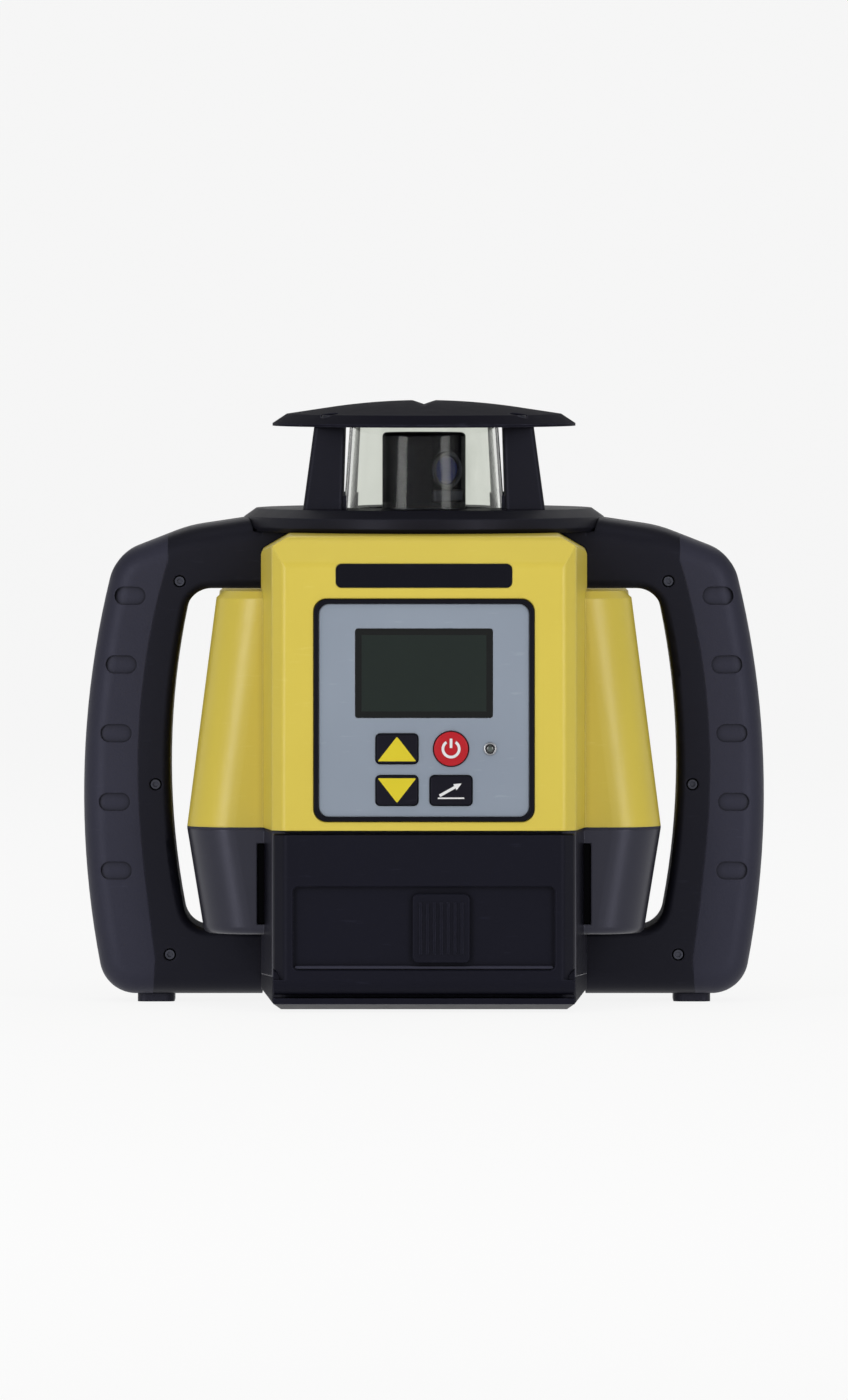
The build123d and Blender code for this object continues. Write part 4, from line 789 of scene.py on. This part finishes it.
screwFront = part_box("handle_screws")[0].y
sidePlaces = [(side * x * mm, screwFront, z * mm) for side in (1, -1) for x, z in handleScrews["places"]]
layScrews("handle_socket_screws", sidePlaces, handleScrews["sizes"], (math.pi / 2, 0, 0), "darkSteel",
          "handle_screws")
roofPlaces = cornerPlaces("roof_screws", roofScrews["sizes"]["Head Radius"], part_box("roof_screws")[1].z)
layScrews("roof_socket_screws", roofPlaces, roofScrews["sizes"], (0, 0, 0), "darkSteel", "roof_screws")
basePlaces = cornerPlaces("base_screws", plateScrews["sizes"]["Head Radius"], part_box("base_screws")[0].z)
layScrews("base_socket_screws", basePlaces, plateScrews["sizes"], (math.pi, 0, 0), "steel", "base_screws")
print("screws laid")


# trim on the rotor: a ring round the beam window and a clamp block under it
rotorTrim = {
    "turn": 37.0,           # degrees from the front to the window
    "face": 13.2 * mm,      # from the axis to the rotor's flat
    "level": 187.5 * mm,
    "ringInner": 5.0 * mm,
    "ringOuter": 6.5 * mm,
    "ringProud": 0.7 * mm,
    "ringSides": 48,
    "blockHalfWidth": 6.2 * mm,
    "blockFoot": 176.4 * mm,
    "blockTop": 180.4 * mm,
    "blockProud": 1.3 * mm,
    "blockCorner": 0.7 * mm,
    "blockRoundOver": 0.4 * mm,
    "blockSunk": 0.5 * mm,
}
ringSunk = 0.4 * mm


def turned(bm, trim):
    # laid out facing the front, then set on the rotor's flat
    spin = Matrix.Rotation(math.radians(trim["turn"]), 4, "Z")
    bmesh.ops.transform(bm, matrix=spin, verts=bm.verts)


def circleOutline(middle, radius, sides):
    turns = [math.tau * i / sides for i in range(sides)]
    return [(middle[0] + radius * math.cos(a), middle[1] + radius * math.sin(a)) for a in turns]


def eyeRing(bm, middle, inner, outer, face, proud, sides):
    # a ring with rounded rims, standing proud of a flat that faces the front
    band = outer - inner
    section = [  # radius, and depth in front of the flat
        (outer, -ringSunk), (outer, 0.5 * proud),
        (outer - 0.1 * band, 0.85 * proud), (outer - 0.27 * band, proud),
        (inner + 0.33 * band, proud), (inner + 0.13 * band, 0.8 * proud),
        (inner, 0.3 * proud), (inner, -ringSunk),
    ]
    rounds = [ring(bm, circleOutline(middle, radius, sides), face - depth) for radius, depth in section]
    for first, second in zip(rounds, rounds[1:] + rounds[:1]):
        skin(bm, first, second)


def makeWindowRing(trim):
    bm = bmesh.new()
    eyeRing(bm, (0.0, trim["level"]), trim["ringInner"], trim["ringOuter"], -trim["face"], trim["ringProud"],
            trim["ringSides"])
    turned(bm, trim)
    finishMesh("rotor_window_ring", bm, "darkSteel", "rotor")


def makeClampBlock(trim):
    foot, top = trim["blockFoot"], trim["blockTop"]
    half = (trim["blockHalfWidth"], (top - foot) / 2)
    back, front = trim["blockSunk"] - trim["face"], -trim["face"] - trim["blockProud"]
    bm = bmesh.new()
    slab(bm, (0.0, (foot + top) / 2), half, trim["blockCorner"], back, front, trim["blockRoundOver"])
    turned(bm, trim)
    finishMesh("rotor_clamp_block", bm, "darkSteel", "rotor")


makeWindowRing(rotorTrim)
makeClampBlock(rotorTrim)
print("rotor trim made")


# collar and domed lens of the status lamp
lampTrim = {
    "inner": 1.55 * mm,
    "outer": 2.3 * mm,
    "proud": 0.5 * mm,
    "domeRadius": 1.5 * mm,
    "domeRise": 0.6 * mm,
    "domeSunk": 0.1 * mm,
    "domeRows": 6,
    "sides": 40,
}


def makeLampTrim(trim):
    low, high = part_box("status_lamp")
    middle = ((low.x + high.x) / 2, (low.z + high.z) / 2)
    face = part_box("panel_fascia")[0].y
    bm = bmesh.new()
    eyeRing(bm, middle, trim["inner"], trim["outer"], face, trim["proud"], trim["sides"])
    finishMesh("lamp_collar", bm, "steel", "housing")
    bm = bmesh.new()
    last = ring(bm, circleOutline(middle, trim["domeRadius"], trim["sides"]), low.y + trim["domeSunk"])
    bm.faces.new(last)
    for row in range(trim["domeRows"]):
        angle = math.radians(90 * row / trim["domeRows"])
        outline = circleOutline(middle, trim["domeRadius"] * math.cos(angle), trim["sides"])
        current = ring(bm, outline, low.y - trim["domeRise"] * math.sin(angle))
        skin(bm, last, current)
        last = current
    bm.faces.new(last)
    finishMesh("lamp_dome", bm, "lampLens", "housing")


makeLampTrim(lampTrim)
print("lamp trim made")


# dark strips laid in the drip channels beside each bay: painted shade standing in for the slots' shadow
channelShadeStrip = {
    "middle": (56.9 * mm, 43.75 * mm),
    "half": (1.4 * mm, 14.1 * mm),
    "corner": 0.7 * mm,
    "back": 64.1 * mm,      # from the axis, front and rear alike
    "front": 65.2 * mm,
    "roundOver": 0.4 * mm,
}
bm = bmesh.new()
for side in (1, -1):
    for end in (1, -1):
        middle = (side * channelShadeStrip["middle"][0], channelShadeStrip["middle"][1])
        back, front = end * channelShadeStrip["back"], end * channelShadeStrip["front"]
        slab(bm, middle, channelShadeStrip["half"], channelShadeStrip["corner"], back, front, channelShadeStrip["roundOver"])
finishMesh("channel_shade_strips", bm, "channelShadeBlack", "housing")

# bead along the foot of the door's recess
doorBead = {
    "middle": (0.0, 15.75 * mm),
    "half": (45.2 * mm, 0.75 * mm),
    "corner": 0.7 * mm,
    "back": -93.3 * mm,
    "front": -95.3 * mm,
    "roundOver": 0.6 * mm,
}
bm = bmesh.new()
slab(bm, doorBead["middle"], doorBead["half"], doorBead["corner"], doorBead["back"], doorBead["front"],
     doorBead["roundOver"])
finishMesh("door_bead", bm, "gripRubber", "door")
print("shade_strips and bead made")


stage = {
    "floorColour": rgb(244, 244, 243),
    "floorReach": 8.6,     # metres from the case to the edge of the sheet
    "floorBend": 1.6,      # the sheet's edge turns up by this radius
    "floorSides": 96,
    "floorWhite": 0.88,    # share of plain white that the camera sees in the sheet
    "azimuth": 0.0,        # degrees to the right of the panel
    "elevation": 1.8,      # degrees above the horizon
    "distance": 6.0,       # metres from the middle of the case
    "middle": (0.0, 0.0, 0.106),
    "pictureSize": (848, 1400),
    "fillWidth": 0.80,     # share of the picture's width that the case takes
    "skyLight": 0.36,
    "lamps": [             # place, width, height, watts
        ((0.0, -0.7, 1.8), 1.4, 0.8, 3.2),
        ((-1.25, -1.9, 0.45), 0.55, 1.6, 20.0),
        ((1.25, -1.9, 0.45), 0.55, 1.6, 17.0),
        ((0.0, 1.4, 1.4), 1.6, 0.8, 4.0),
    ],
}


def aim(thing, target):
    thing.rotation_euler = (Vector(target) - thing.location).to_track_quat("-Z", "Y").to_euler()


def makeCamera(s):
    lens = bpy.data.cameras.new("viewCamera")
    camera = bpy.data.objects.new("viewCamera", lens)
    bpy.context.collection.objects.link(camera)
    turn, lift = math.radians(s["azimuth"]), math.radians(s["elevation"])
    away = Vector((math.sin(turn) * math.cos(lift), -math.cos(turn) * math.cos(lift), math.sin(lift)))
    camera.location = Vector(s["middle"]) + away * s["distance"]
    aim(camera, s["middle"])
    viewWidth = (cadBox[1].x - cadBox[0].x) / s["fillWidth"]
    viewHeight = viewWidth * s["pictureSize"][1] / s["pictureSize"][0]
    lens.lens = lens.sensor_width * s["distance"] / viewHeight
    bpy.context.scene.camera = camera


def seenRays(tree):
    # one for the rays that should meet plain white: straight to the eye, off gloss, through glass
    path = tree.nodes.new("ShaderNodeLightPath")
    seen = 0.0
    for kind in ("Is Camera Ray", "Is Glossy Ray", "Is Transmission Ray"):
        seen = Wire(tree, path.outputs[kind]) + seen
    return seen.maths("MINIMUM", seen, 1.0)


def makeFloor(s):
    reach, bend, sides = s["floorReach"], s["floorBend"], s["floorSides"]
    floorLevel = cadBox[0].z
    profile = [(radius, floorLevel) for radius in (0.5, 2.0, 6.0)]
    for step in range(13):
        angle = math.radians(90 * step / 12)
        profile.append((reach - bend + bend * math.sin(angle), floorLevel + bend * (1 - math.cos(angle))))
    bm = bmesh.new()
    turns = [math.tau * i / sides for i in range(sides)]
    rows = [[bm.verts.new((r * math.cos(a), r * math.sin(a), z)) for a in turns] for r, z in profile]
    bm.faces.new(rows[0])
    for inner, outer in zip(rows, rows[1:]):
        for i in range(sides):
            bm.faces.new((inner[i - 1], outer[i - 1], outer[i], inner[i]))
    mesh = bpy.data.meshes.new("studioSheet")
    bm.to_mesh(mesh)
    bm.free()
    mesh.shade_smooth()
    f = Finish("studioSheet", {"Roughness": 0.9, "Specular IOR Level": 0.1})
    fibre = f.noise(30 * mm, 3.0)
    f.feed("Base Color", f.tint(fibre * 0.1, s["floorColour"], (1.0, 1.0, 1.0, 1.0)))
    glow = f.tree.nodes.new("ShaderNodeEmission")
    blend = f.tree.nodes.new("ShaderNodeMixShader")
    plug(f.tree, blend.inputs[0], seenRays(f.tree) * s["floorWhite"])
    f.tree.links.new(f.shader.outputs[0], blend.inputs[1])
    f.tree.links.new(glow.outputs[0], blend.inputs[2])
    f.tree.links.new(blend.outputs[0], f.tree.nodes["Material Output"].inputs["Surface"])
    mesh.materials.append(f.material)
    sheet = bpy.data.objects.new("studioSheet", mesh)
    bpy.context.collection.objects.link(sheet)


def makeLights(s):
    for number, (spot, width, height, watts) in enumerate(s["lamps"]):
        lamp = bpy.data.lights.new(f"softBox{number}", "AREA")
        lamp.shape = "RECTANGLE"
        lamp.size, lamp.size_y, lamp.energy = width, height, watts
        box = bpy.data.objects.new(lamp.name, lamp)
        bpy.context.collection.objects.link(box)
        box.location = spot
        aim(box, s["middle"])
    world = bpy.data.worlds.new("studioSky")
    bpy.context.scene.world = world
    world.use_nodes = True
    tree = world.node_tree
    sky = tree.nodes["Background"]
    sky.inputs["Color"].default_value = (1.0, 1.0, 1.0, 1.0)
    sky.inputs["Strength"].default_value = s["skyLight"]


makeCamera(stage)
makeFloor(stage)
makeLights(stage)
bpy.context.scene.view_settings.view_transform = "Standard"
print("stage set")
